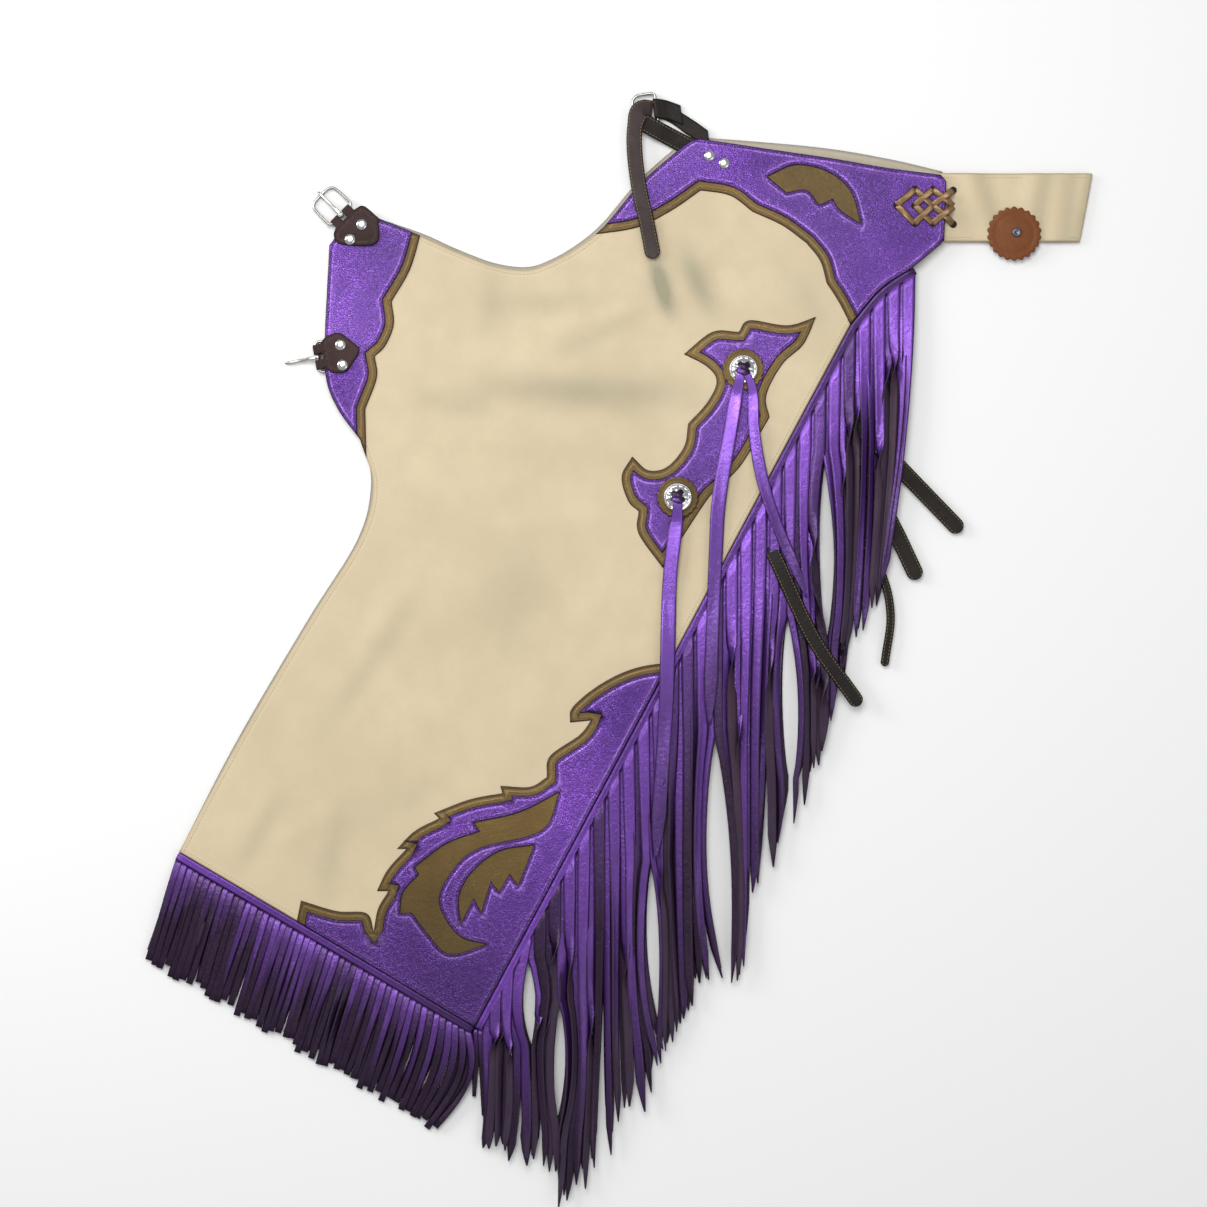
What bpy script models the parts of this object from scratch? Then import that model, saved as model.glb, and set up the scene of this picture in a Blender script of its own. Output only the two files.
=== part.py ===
"""Leather chaps, folded in half at the front and laid flat.

One leg lies face up on the other, which lies face down. The waist is at the
top of the plan (+Y), the side fringe hangs towards -Y, the belt's front fold
is at +X. The floor is z = 0. All sizes below are millimetres.
"""
import math
import random

import bmesh
import bpy
from mathutils import Vector
from mathutils.geometry import delaunay_2d_cdt

MM = 0.001

# From the drawing to the middle of the box
CENTRE = (-9.71, 0.57)

# Leather and gaps
PANEL_T = 2.2
TRIM_T = 1.0
OVERLAY_T = 1.2
STRAP_T = 1.8
GAP = 0.3

# Height of the face-up panel's underside: inner part, and at the outer seam
PANEL_LOW = 2.6
PANEL_HIGH = 7.8
RAMP = 150.0

# Gold trim that shows round each purple overlay
TRIM = 8.0

# Fringe
WELT_W = 7.0
STRAND_T = 1.2
SIDE_STRANDS = 58
UNDER_STRANDS = 46
HEM_STRANDS = 39
UNDER_HEM_STRANDS = 30
SIDE_HALF_T = 1.9
SIDE_LAYER = 1.0
HEM_DIRECTION = (-0.30, -0.954)

# Buckles: wire, bar and frame
WIRE_R = 1.4
FRAME_W = 29.0
FRAME_L = 27.5
LOOP_T = 1.2
LOOP_R = WIRE_R + GAP + LOOP_T / 2

# Outlines: x, y, corner (1) or smooth (0)
UPPER_LEG = [
    (82, 485, 1), (200, 471, 0), (314, 450, 1), (319, 444, 1), (317, 388, 1),
    (288, 363, 0), (257, 342, 0), (229, 309, 1), (-127, -356, 1), (-408, -191, 1),
    (-351, -85, 0), (-284, 29, 0), (-237, 105, 0), (-224, 156, 0), (-236, 200, 1),
    (-257, 229, 0), (-268, 258, 0), (-269, 302, 0), (-265, 384, 1), (-238, 418, 1),
    (-180, 394, 0), (-144, 378, 0), (-109, 365, 0), (-80, 361, 0), (-60, 366, 0),
    (-33, 380, 0), (-5, 402, 0), (29, 442, 0), (67, 475, 0)]
UNDER_LEG = [
    (80, 488, 1), (200, 474, 0), (316, 453, 1), (321, 446, 1), (316, 386, 1),
    (285, 361, 0), (255, 341, 0), (229, 309, 1), (-127, -356, 1), (-408, -191, 1),
    (-353, -85, 0), (-286, 29, 0), (-239, 105, 0), (-226, 156, 0), (-232, 200, 1),
    (-235, 238, 1), (-235, 312, 1), (-264, 316, 1), (-262, 384, 1), (-237, 416, 1),
    (-180, 397, 0), (-144, 381, 0), (-109, 368, 0), (-80, 364, 0), (-60, 369, 0),
    (-34, 383, 0), (-7, 405, 0), (27, 445, 0), (64, 478, 0)]
YOKE = [
    (-18, 394, 1), (26, 401, 0), (59, 417, 0), (87, 436, 1), (115, 431, 0),
    (136, 416, 1), (164, 403, 0), (187, 386, 1), (200, 369, 0), (206, 348, 1),
    (218, 329, 0), (231, 303, 1), (257, 285, 1), (362, 361, 1), (362, 504, 1),
    (77, 523, 1), (-18, 437, 1)]
THIGH = [
    (-176, 405, 1), (-188, 363, 0), (-206, 331, 1), (-204, 309, 0), (-212, 289, 0),
    (-222, 279, 1), (-220, 259, 0), (-231, 229, 1), (-230, 180, 1), (-300, 180, 1),
    (-300, 440, 1)]
MIDDLE = [
    (196, 316, 1), (169, 308, 0), (133, 313, 0), (123, 302, 1), (98, 302, 0),
    (71, 281, 1), (93, 269, 0), (102, 255, 0), (93, 235, 0), (75, 215, 1),
    (71, 193, 0), (55, 174, 0), (37, 171, 0), (22, 184, 1), (12, 165, 0),
    (18, 142, 0), (28, 132, 1), (28, 111, 0), (51, 78, 1), (79, 122, 0),
    (95, 146, 1), (123, 173, 0), (141, 202, 0), (152, 221, 1), (149, 242, 0),
    (164, 271, 0), (184, 290, 0)]
CORNER = [
    (86, -9, 1), (31, -15, 0), (-5, -30, 0), (-34, -53, 0), (-37, -68, 1),
    (-17, -66, 1), (-28, -80, 0), (-56, -100, 0), (-59, -120, 1), (-75, -129, 0),
    (-103, -128, 1), (-101, -135, 1), (-132, -141, 0), (-166, -154, 1), (-161, -159, 1),
    (-184, -171, 0), (-201, -188, 1), (-192, -188, 1), (-210, -208, 0), (-220, -228, 1),
    (-209, -228, 1), (-219, -245, 0), (-223, -266, 1), (-230, -249, 0), (-258, -247, 0),
    (-292, -237, 1), (-297, -261, 1), (-312, -304, 1), (-127, -420, 1), (-56, -361, 1),
    (125, -28, 1)]

# Cut-outs in the purple leather that show the gold
FLAME = [
    (-47, -134, 1), (-85, -153, 0), (-128, -163, 1), (-122, -171, 1), (-154, -183, 0),
    (-184, -205, 1), (-180, -212, 1), (-195, -229, 0), (-198, -249, 1), (-187, -248, 1),
    (-171, -269, 0), (-151, -287, 0), (-116, -278, 1), (-143, -269, 0), (-161, -238, 0),
    (-149, -209, 0), (-123, -187, 0), (-64, -170, 0)]
FROND = [
    (-71, -184, 1), (-104, -190, 0), (-130, -210, 0), (-142, -233, 0), (-140, -258, 1),
    (-128, -234, 1), (-121, -248, 1), (-112, -218, 1), (-104, -228, 1), (-94, -211, 1),
    (-86, -222, 1)]
LEAF = [
    (150, 449, 1), (177, 460, 0), (208, 453, 0), (229, 434, 0), (238, 404, 1),
    (219, 417, 0), (212, 428, 1), (199, 422, 1), (187, 436, 0), (168, 434, 1)]

# Soft folds of the face-up panel: middle x, y, direction (degrees), half length,
# width, height
FOLDS = [
    (-70, 262, -6, 170, 26, 3.0),
    (-60, 205, -14, 150, 22, 2.2),
    (20, 330, 78, 60, 16, 2.0),
    (-120, 60, 32, 150, 34, 2.4),
    (-190, -70, 24, 150, 30, 2.0),
    (-90, -60, 60, 120, 30, 2.2)]

# Places where the panel lies over a strap or a buckle: x, y, radius, height
LIFTS = [
    (90, 473, 52, 4.0),
    (-266, 278, 30, 3.4),
    (-254, 404, 26, 2.4)]

# Tip line of the side fringe: x, y
TIPS = [
    (-124, -465), (-93, -481), (-59, -493), (-39, -525), (-14, -513), (10, -454),
    (39, -401), (72, -362), (88, -323), (128, -302), (136, -225), (152, -222),
    (176, -146), (199, -94), (221, -56), (238, 2), (262, 48), (288, 105), (300, 130)]


def clear_scene():
    for item in list(bpy.data.objects):
        bpy.data.objects.remove(item, do_unlink=True)


def collection(name):
    group = bpy.data.collections.new(name)
    bpy.context.scene.collection.children.link(group)
    return group


def leather(name, colour, roughness=0.5, metallic=0.0):
    material = bpy.data.materials.new(name)
    material.use_nodes = True
    shader = material.node_tree.nodes["Principled BSDF"]
    shader.inputs["Base Color"].default_value = (*colour, 1.0)
    shader.inputs["Roughness"].default_value = roughness
    shader.inputs["Metallic"].default_value = metallic
    return material


CREAM = (0.72, 0.60, 0.38)
PURPLE = (0.19, 0.06, 0.45)
GOLD = (0.30, 0.18, 0.06)
DARK = (0.035, 0.022, 0.016)
TAN = (0.26, 0.07, 0.02)
STEEL = (0.66, 0.66, 0.64)


def finish(name, bm, colour, roughness=0.5, metallic=0.0, group=None):
    """Turn a mesh in millimetres into a named object of its own material."""
    bmesh.ops.recalc_face_normals(bm, faces=bm.faces)
    bmesh.ops.scale(bm, vec=(MM, MM, MM), verts=bm.verts)
    mesh = bpy.data.meshes.new(name)
    bm.to_mesh(mesh)
    bm.free()
    item = bpy.data.objects.new(name, mesh)
    mesh.materials.append(leather(name, colour, roughness, metallic))
    (group or CHAPS).objects.link(item)
    return item


def smooth(t):
    t = min(1.0, max(0.0, t))
    return t * t * (3 - 2 * t)


def panel_z(x, y):
    """Underside of the face-up panel."""
    along = Vector((356, 665)).normalized()
    inside = (x + 127) * -along.y + (y + 356) * along.x
    z = PANEL_LOW + (PANEL_HIGH - PANEL_LOW) * smooth(1 - max(0.0, inside) / RAMP)
    for fx, fy, angle, half, width, height in FOLDS:
        c, s = math.cos(math.radians(angle)), math.sin(math.radians(angle))
        u = ((x - fx) * c + (y - fy) * s) / half
        v = ((y - fy) * c - (x - fx) * s) / width
        if abs(u) < 1:
            z += height * (1 - u * u) ** 2 * math.exp(-v * v)
    for lx, ly, radius, height in LIFTS:
        z += height * math.exp(-((x - lx) ** 2 + (y - ly) ** 2) / radius ** 2)
    return z


def outline(rows, step):
    """Closed outline through the rows: smooth runs between sharp corners."""
    points = []
    count = len(rows)
    for i in range(count):
        before, here = rows[i - 1], rows[i]
        there, after = rows[(i + 1) % count], rows[(i + 2) % count]
        p, q = Vector(here[:2]), Vector(there[:2])
        leave = q - p if here[2] else (q - Vector(before[:2])) / 2
        arrive = q - p if there[2] else (Vector(after[:2]) - p) / 2
        steps = max(1, round((q - p).length / step))
        for k in range(steps):
            t = k / steps
            a, b = 2 * t ** 3 - 3 * t ** 2 + 1, t ** 3 - 2 * t ** 2 + t
            c, d = -2 * t ** 3 + 3 * t ** 2, t ** 3 - t ** 2
            points.append(p * a + leave * b + q * c + arrive * d)
    if area(points) < 0:
        points.reverse()
    return points


def area(points):
    total = 0.0
    for a, b in zip(points, points[1:] + points[:1]):
        total += a.x * b.y - b.x * a.y
    return total / 2


def inset(points, distance):
    """The same outline moved in, with mitred corners."""
    moved = []
    for before, here, after in zip(points[-1:] + points[:-1], points, points[1:] + points[:1]):
        u, v = (here - before).normalized(), (after - here).normalized()
        normal = Vector((-u.y - v.y, u.x + v.x))
        turn = u.x * v.y - u.y * v.x
        if normal.length < 1e-6:
            normal = Vector((-u.y, u.x))
        normal.normalize()
        reach = 1 / max(0.2, normal.dot(Vector((-u.y, u.x))))
        reach = min(reach, 4.0 if turn > 0 else 1.4)
        moved.append(here + normal * distance * reach)
    return moved


def winding(points, x, y):
    turns = 0
    for a, b in zip(points, points[1:] + points[:1]):
        side = (b.x - a.x) * (y - a.y) - (x - a.x) * (b.y - a.y)
        if a.y <= y < b.y and side > 0:
            turns += 1
        elif b.y <= y < a.y and side < 0:
            turns -= 1
    return turns


def edge_distance(loops, x, y):
    nearest = 1e9
    for points in loops:
        for a, b in zip(points, points[1:] + points[:1]):
            dx, dy = b.x - a.x, b.y - a.y
            length = dx * dx + dy * dy or 1e-9
            t = min(1.0, max(0.0, ((x - a.x) * dx + (y - a.y) * dy) / length))
            nearest = min(nearest, math.hypot(a.x + dx * t - x, a.y + dy * t - y))
    return nearest


def net(loops, spacing, border):
    """Triangles of the plan that keep every loop as an edge."""
    points, edges = [], []
    for loop in loops:
        first = len(points)
        points += loop
        edges += [(first + i, first + (i + 1) % len(loop)) for i in range(len(loop))]
    if spacing:
        low_x, high_x = min(p.x for p in border), max(p.x for p in border)
        low_y, high_y = min(p.y for p in border), max(p.y for p in border)
        row = 0
        y = low_y
        while y < high_y:
            x = low_x + (row % 2) * spacing / 2
            while x < high_x:
                if winding(border, x, y) and edge_distance(loops, x, y) > spacing * 0.36:
                    points.append(Vector((x, y)))
                x += spacing
            y += spacing * 0.87
            row += 1
    found = delaunay_2d_cdt(points, edges, [], 0, 0.05)
    return found[0], [tuple(face) for face in found[2]]


def slab(name, plan, keep, low, thickness, colour, roughness=0.5, metallic=0.0):
    """A wall of leather over the triangles of the plan whose middle is kept."""
    points, faces = plan
    chosen = []
    for face in faces:
        x = sum(points[i].x for i in face) / 3
        y = sum(points[i].y for i in face) / 3
        if keep(x, y):
            chosen.append(face)
    chosen = largest(chosen)
    bm = bmesh.new()
    bottom, top = {}, {}
    for i in {i for face in chosen for i in face}:
        x, y = points[i]
        z = low(x, y)
        bottom[i] = bm.verts.new((x, y, z))
        top[i] = bm.verts.new((x, y, z + thickness))
    owner = {}
    for a, b, c in chosen:
        bm.faces.new((top[a], top[b], top[c]))
        bm.faces.new((bottom[c], bottom[b], bottom[a]))
        for pair in ((a, b), (b, c), (c, a)):
            owner[pair] = True
    for a, b in owner:
        if (b, a) not in owner:
            bm.faces.new((bottom[a], bottom[b], top[b], top[a]))
    return finish(name, bm, colour, roughness, metallic)


def largest(faces):
    """The biggest group of faces that share edges, pinched points cut away."""
    while True:
        sides = {}
        for index, face in enumerate(faces):
            for a, b in zip(face, face[1:] + face[:1]):
                sides.setdefault((min(a, b), max(a, b)), []).append(index)
        links = {index: set() for index in range(len(faces))}
        for owners in sides.values():
            for one in owners:
                links[one].update(owners)
        groups, seen = [], set()
        for start in range(len(faces)):
            if start in seen:
                continue
            group, queue = set(), [start]
            while queue:
                one = queue.pop()
                if one not in group:
                    group.add(one)
                    queue += links[one] - group
            seen |= group
            groups.append(group)
        faces = [faces[i] for i in sorted(max(groups, key=len))]
        rim = {}
        for index, face in enumerate(faces):
            for a, b in zip(face, face[1:] + face[:1]):
                rim.setdefault((min(a, b), max(a, b)), []).append(face)
        count = {}
        for pair, owners in rim.items():
            if len(owners) == 1:
                for end in pair:
                    count[end] = count.get(end, 0) + 1
        pinched = {end for end, n in count.items() if n > 2}
        if not pinched:
            return faces
        worst = [face for face in faces if set(face) & pinched]
        fewest = min(worst, key=lambda face: sum(
            len(rim[(min(a, b), max(a, b))]) for a, b in zip(face, face[1:] + face[:1])))
        faces = [face for face in faces if face != fewest]


def prism(name, points, z, thickness, colour, roughness=0.5, metallic=0.0, group=None):
    """A flat outline with straight sides."""
    bm = bmesh.new()
    face = bm.faces.new([bm.verts.new((p[0], p[1], z)) for p in points])
    made = bmesh.ops.extrude_face_region(bm, geom=[face])["geom"]
    lifted = [part for part in made if isinstance(part, bmesh.types.BMVert)]
    bmesh.ops.translate(bm, verts=lifted, vec=(0, 0, thickness))
    bmesh.ops.triangulate(bm, faces=bm.faces)
    return finish(name, bm, colour, roughness, metallic, group)


def ribbon(name, rows, thickness, colour, side=None, roughness=0.5, metallic=0.0, group=None):
    """A strap along rows of x, y, z, half width."""
    centres = [Vector(row[:3]) for row in rows]
    bm = bmesh.new()
    rings = []
    for i, row in enumerate(rows):
        before, after = centres[max(0, i - 1)], centres[min(len(rows) - 1, i + 1)]
        ahead = (after - before).normalized()
        across = Vector(side) if side else Vector((-ahead.y, ahead.x, 0))
        across.normalize()
        up = ahead.cross(across).normalized()
        w, h = across * row[3], up * (thickness / 2)
        rings.append([bm.verts.new(centres[i] + w * a + h * b)
                      for a, b in ((-1, -1), (1, -1), (1, 1), (-1, 1))])
    for one, two in zip(rings, rings[1:]):
        for k in range(4):
            bm.faces.new((one[k], one[(k + 1) % 4], two[(k + 1) % 4], two[k]))
    bm.faces.new(rings[0][::-1])
    bm.faces.new(rings[-1])
    bmesh.ops.triangulate(bm, faces=bm.faces)
    return finish(name, bm, colour, roughness, metallic, group)


def turned(name, x, y, z, profile, steps, colour, roughness=0.3, metallic=1.0):
    """A round piece: rows of radius, height from the top of the axis down."""
    mesh = bpy.data.meshes.new(name)
    points = [(r * MM, 0, h * MM) for r, h in profile]
    mesh.from_pydata(points, [(i, i + 1) for i in range(len(points) - 1)], [])
    item = bpy.data.objects.new(name, mesh)
    item.location = (x * MM, y * MM, z * MM)
    mesh.materials.append(leather(name, colour, roughness, metallic))
    CHAPS.objects.link(item)
    spin = item.modifiers.new("Turned", 'SCREW')
    spin.axis = 'Z'
    spin.steps = steps
    spin.render_steps = steps
    spin.use_merge_vertices = True
    spin.merge_threshold = 0.00001
    spin.use_smooth_shade = True
    return item


def polyline(points, step):
    """A smooth open path through the points, evenly stepped."""
    rows = [Vector(p) for p in points]
    path = []
    for i in range(len(rows) - 1):
        p, q = rows[i], rows[i + 1]
        leave = (q - rows[i - 1]) / 2 if i else q - p
        arrive = (rows[i + 2] - p) / 2 if i + 2 < len(rows) else q - p
        steps = max(1, round((q - p).length / step))
        for k in range(steps):
            t = k / steps
            a, b = 2 * t ** 3 - 3 * t ** 2 + 1, t ** 3 - 2 * t ** 2 + t
            c, d = -2 * t ** 3 + 3 * t ** 2, t ** 3 - t ** 2
            path.append(p * a + leave * b + q * c + arrive * d)
    path.append(rows[-1])
    return path


class Seam:
    """A seam line that can be asked for the point and the outward side at any length."""

    def __init__(self, points):
        self.points = points
        self.lengths = [0.0]
        for a, b in zip(points, points[1:]):
            self.lengths.append(self.lengths[-1] + (b - a).length)
        self.total = self.lengths[-1]

    def at(self, s, away):
        s = min(self.total, max(0.0, s))
        i = 0
        while i < len(self.points) - 2 and self.lengths[i + 1] < s:
            i += 1
        a, b = self.points[i], self.points[i + 1]
        t = (s - self.lengths[i]) / (self.lengths[i + 1] - self.lengths[i])
        spot = a + (b - a) * t
        ahead = b - a
        if 0 < i and t < 0.5:
            ahead = (b - a).normalized() * (0.5 + t) + (a - self.points[i - 1]).normalized() * (0.5 - t)
        elif i < len(self.points) - 2 and t >= 0.5:
            ahead = (b - a).normalized() * (1.5 - t)
            ahead += (self.points[i + 2] - b).normalized() * (t - 0.5)
        ahead.normalize()
        return spot + Vector((ahead.y, -ahead.x)) * away

    def at_x(self, x, away):
        low, high = 0.0, self.total
        for _ in range(40):
            middle = (low + high) / 2
            if self.at(middle, away).x < x:
                low = middle
            else:
                high = middle
        return (low + high) / 2


def bridge(bm, one, two):
    """Faces between two lines of (length, vertex) that share their end lengths."""
    i, j = 0, 0
    while i < len(one) - 1 or j < len(two) - 1:
        step_one = i < len(one) - 1
        if step_one and j < len(two) - 1:
            step_one = one[i + 1][0] <= two[j + 1][0]
        if step_one:
            bm.faces.new((one[i][1], one[i + 1][1], two[j][1]))
            i += 1
        else:
            bm.faces.new((one[i][1], two[j + 1][1], two[j][1]))
            j += 1


def fringe(name, seam, height, half, layers, strands, colour, roughness=0.4, metallic=0.3):
    """A welt along a seam with strands drawn out of its outer side.

    layers: middle height of each layer of strands above the welt's middle.
    strands: layer, start length, end length, rows of (left point, right point, z).
    """
    bm = bmesh.new()
    outer = GAP + WELT_W
    coarse = [seam.total * i / round(seam.total / 24) for i in range(round(seam.total / 24) + 1)]

    def line(lengths, away, rise):
        made = []
        for s in lengths:
            spot = seam.at(s, away)
            base = seam.at(s, 0)
            made.append((s, bm.verts.new((spot.x, spot.y, height(base.x, base.y) + rise))))
        return made

    inner_low, outer_low = line(coarse, GAP, -half), line(coarse, outer, -half)
    bridge(bm, inner_low, outer_low)
    ends = [inner_low, outer_low]
    last = outer_low
    for layer, middle in enumerate(layers):
        own = sorted((row for row in strands if row[0] == layer), key=lambda row: row[1])
        cuts = sorted({0.0, seam.total} | {row[1] for row in own} | {row[2] for row in own})
        low = line(cuts, outer, middle - STRAND_T / 2)
        high = line(cuts, outer, middle + STRAND_T / 2)
        bridge(bm, last, low)
        roots = {(row[1], row[2]): row[3] for row in own}
        for k in range(len(cuts) - 1):
            ring = [low[k][1], low[k + 1][1], high[k + 1][1], high[k][1]]
            rows = roots.get((cuts[k], cuts[k + 1]))
            if rows is None:
                bm.faces.new(ring)
                continue
            for left, right, z in rows:
                new = [bm.verts.new((*left, z - STRAND_T / 2)), bm.verts.new((*right, z - STRAND_T / 2)),
                       bm.verts.new((*right, z + STRAND_T / 2)), bm.verts.new((*left, z + STRAND_T / 2))]
                for n in range(4):
                    bm.faces.new((ring[n], ring[(n + 1) % 4], new[(n + 1) % 4], new[n]))
                ring = new
            bm.faces.new(ring)
        ends += [low, high]
        last = high
    outer_high, inner_high = line(coarse, outer, half), line(coarse, GAP, half)
    bridge(bm, last, outer_high)
    bridge(bm, outer_high, inner_high)
    bridge(bm, inner_high, inner_low)
    ends += [outer_high, inner_high]
    bm.faces.new([end[0][1] for end in ends])
    bm.faces.new([end[-1][1] for end in reversed(ends)])
    bmesh.ops.triangulate(bm, faces=bm.faces)
    return finish(name, bm, colour, roughness, metallic)


def tip_line(x):
    for a, b in zip(TIPS, TIPS[1:]):
        if a[0] <= x <= b[0]:
            return a[1] + (b[1] - a[1]) * (x - a[0]) / (b[0] - a[0])
    return TIPS[0][1] if x < TIPS[0][0] else TIPS[-1][1]


def side_strands(seam, count, middle, shorten, seed, segments):
    """Strands in two layers, each as wide as two steps of the fringe."""
    chance = random.Random(seed)
    outer = GAP + WELT_W
    start, stop = seam.at(0.5, outer).x, seam.at(seam.total - 0.5, outer).x
    pitch = (stop - start) / (count + 1)
    width = min(12.4, 2 * pitch - 1.3)
    strands = []
    for k in range(count):
        left = start + k * pitch
        right = left + width
        s_left, s_right = seam.at_x(left, outer), seam.at_x(right, outer)
        root = seam.at(s_left, outer).y
        centre = (left + right) / 2
        lean = -24 * smooth((centre - 210) / 90) + 6 * math.sin(centre / 31.0)
        lean += 5 * math.sin(centre / 83.0 + 1)
        tip = tip_line(centre + lean * 0.5) + shorten + chance.uniform(-6, 16)
        length = root - 7 - tip
        z = middle + (SIDE_LAYER if k % 2 else -SIDE_LAYER)
        rows = []
        for i in range(segments):
            t = i / segments
            w = width * (1 - 0.30 * t) / 2
            x = centre + lean * t * t + 2.0 * math.sin(centre / 47.0 + 5 * t) * t
            y = root - 7 - length * t
            rows.append(((x - w, y - 1.0), (x + w, y + 1.0), z))
        x = centre + lean + 2.0 * math.sin(centre / 47.0 + 5)
        slant = chance.choice((-5, 5))
        rows.append(((x - width * 0.30, tip + 9 + slant), (x + width * 0.30, tip + 9 - slant), z))
        rows.append(((x - 1.4, tip + slant / 3), (x + 1.4, tip - slant / 3), z))
        strands.append((k % 2, s_left, s_right, rows))
    return strands


def hem_strands(seam, height, count, lengths, end_z, seed, segments):
    """One layer of strands that fall a little to the left of the hem."""
    chance = random.Random(seed)
    outer = GAP + WELT_W
    pitch = (seam.total - 3) / count
    fall = Vector(HEM_DIRECTION)
    strands = []
    for k in range(count):
        a, b = 1.5 + k * pitch, 1.5 + (k + 1) * pitch - 1.0
        left, right = seam.at(a, outer), seam.at(b, outer)
        share = (k + 0.5) / count
        length = lengths[0] + (lengths[1] - lengths[0]) * share + chance.uniform(-5, 4)
        base = seam.at((a + b) / 2, 0)
        root_z = height(base.x, base.y)
        rows = []
        for i in range(1, segments + 1):
            t = i / segments
            sway = Vector((1.2 * math.sin(k * 0.9), 0)) * t
            pull = (right - left) * 0.12 * t
            z = root_z + (end_z - root_z) * smooth(t)
            moved = fall * length * t + sway
            rows.append((left + moved + pull, right + moved - pull, z))
        end = rows[-1]
        slant = fall * chance.uniform(-3, 3)
        rows[-1] = (end[0] + slant, end[1] - slant, end[2])
        strands.append((0, a, b, rows))
    return strands


def top_at(x, y):
    """Top of what lies at a place of the plan, before straps and strings."""
    inside = winding(LEG_LINE, x, y)
    if inside:
        covered = any(winding(loop, x, y) for loop in TRIM_LINES.values())
        return panel_z(x, y) + PANEL_T + (TRIM_T + OVERLAY_T + 2 * GAP if covered else 0)
    if x > -120 + (y + 356) * 0.535 - 6 and y < 420:
        return PANEL_HIGH + PANEL_T / 2 + SIDE_HALF_T + 0.1
    return 0.0


def drape(points, step, half, lowest=0.0):
    """Rows of x, y, z, half width for a strap that lies on what is below it."""
    path = polyline(points, step)
    reach = half + 3
    raw = []
    for p in path:
        spots = [top_at(p.x + dx * reach, p.y + dy * reach)
                 for dx in (-1, -0.5, 0, 0.5, 1) for dy in (-1, 0, 1)]
        raw.append(max(max(spots), lowest))
    rows = []
    for i, p in enumerate(path):
        z = max(raw[max(0, i - 1):i + 2]) + STRAP_T / 2 + GAP
        rows.append((p.x, p.y, z, half))
    return rows


def pointed(rows, full, tips):
    """Narrow the last rows of a strap: share of the width at each."""
    shaped = list(rows)
    for i, share in enumerate(tips):
        x, y, z, half = shaped[i - len(tips)]
        shaped[i - len(tips)] = (x, y, z, full * share)
    return shaped


def rounded_end(rows, half, length=7.0):
    """Add two short, narrower rows past the end of a strap."""
    a, b = Vector(rows[-2][:3]), Vector(rows[-1][:3])
    ahead = (b - a).normalized()
    for reach, share in ((0.6, 0.82), (1.0, 0.35)):
        spot = b + ahead * length * reach
        rows.append((spot.x, spot.y, spot.z, half * share))
    return rows


def local(origin, angle, u, v):
    c, s = math.cos(math.radians(angle)), math.sin(math.radians(angle))
    return (origin[0] + u * c - v * s, origin[1] + u * s + v * c)


def buckle_frame(name, centre, angle, tilt, width=FRAME_W, length=FRAME_L):
    """Wire frame: its bar lies at the centre, the frame reaches out along the angle."""
    item_curve = bpy.data.curves.new(name, 'CURVE')
    item_curve.dimensions = '3D'
    item_curve.bevel_depth = WIRE_R * MM
    item_curve.bevel_resolution = 1
    half = width / 2
    shape = [(0, -half + 3), (0, half - 3), (1.2, half - 0.8), (4, half), (length - 6, half - 0.5),
             (length - 1.5, half - 3.5), (length, half - 8), (length, 8 - half),
             (length - 1.5, 3.5 - half), (length - 6, 0.5 - half), (4, -half), (1.2, 0.8 - half)]
    spline = item_curve.splines.new('POLY')
    spline.points.add(len(shape) - 1)
    spline.use_cyclic_u = True
    for point, (u, v) in zip(spline.points, shape):
        point.co = (u * MM, v * MM, 0, 1)
    spline.use_smooth = True
    item = bpy.data.objects.new(name, item_curve)
    item_curve.materials.append(leather(name, STEEL, 0.25, 1.0))
    item.location = (centre[0] * MM, centre[1] * MM, centre[2] * MM)
    item.rotation_euler = (0, -math.radians(tilt), math.radians(angle))
    CHAPS.objects.link(item)
    return item


def buckle_tongue(name, centre, angle, tilt, parent=None):
    """Tongue: an eye round the bar and a finger that reaches past the frame's end."""
    eye, skin = WIRE_R + GAP, 1.5
    reach = FRAME_L + 4.0
    over = WIRE_R + 0.35
    outer = eye + skin
    profile = []
    for k in range(9):
        turn = math.radians(50 + 260 * k / 8)
        profile.append((outer * math.cos(turn), outer * math.sin(turn)))
    profile += [(FRAME_L * 0.55, over - 0.9), (FRAME_L + 1.5, over), (reach, over - 1.1),
                (reach - 0.2, over + 0.9), (FRAME_L + 1.5, over + 1.9), (FRAME_L * 0.55, over + 1.1)]
    hole = [(eye * math.cos(2 * math.pi * k / 10), eye * math.sin(2 * math.pi * k / 10)) for k in range(10)]
    loops = [[Vector(p) for p in profile], [Vector(p) for p in hole]]
    if area(loops[0]) < 0:
        loops[0].reverse()
    points, faces = net(loops, 0, loops[0])
    chosen = []
    for face in faces:
        x, y = sum(points[i].x for i in face) / 3, sum(points[i].y for i in face) / 3
        if winding(loops[0], x, y) and not winding(loops[1], x, y):
            chosen.append(face)
    bm = bmesh.new()
    near = {i: bm.verts.new((points[i].x, -1.9, points[i].y)) for i in {i for f in chosen for i in f}}
    far = {i: bm.verts.new((points[i].x, 1.9, points[i].y)) for i in near}
    pairs = set()
    for a, b, c in chosen:
        bm.faces.new((near[a], near[b], near[c]))
        bm.faces.new((far[c], far[b], far[a]))
        pairs |= {(a, b), (b, c), (c, a)}
    for a, b in pairs:
        if (b, a) not in pairs:
            bm.faces.new((near[b], near[a], far[a], far[b]))
    item = finish(name, bm, STEEL, 0.25, 1.0)
    item.location = (centre[0] * MM, centre[1] * MM, centre[2] * MM)
    item.rotation_euler = (0, -math.radians(tilt), math.radians(angle))
    return item


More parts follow.
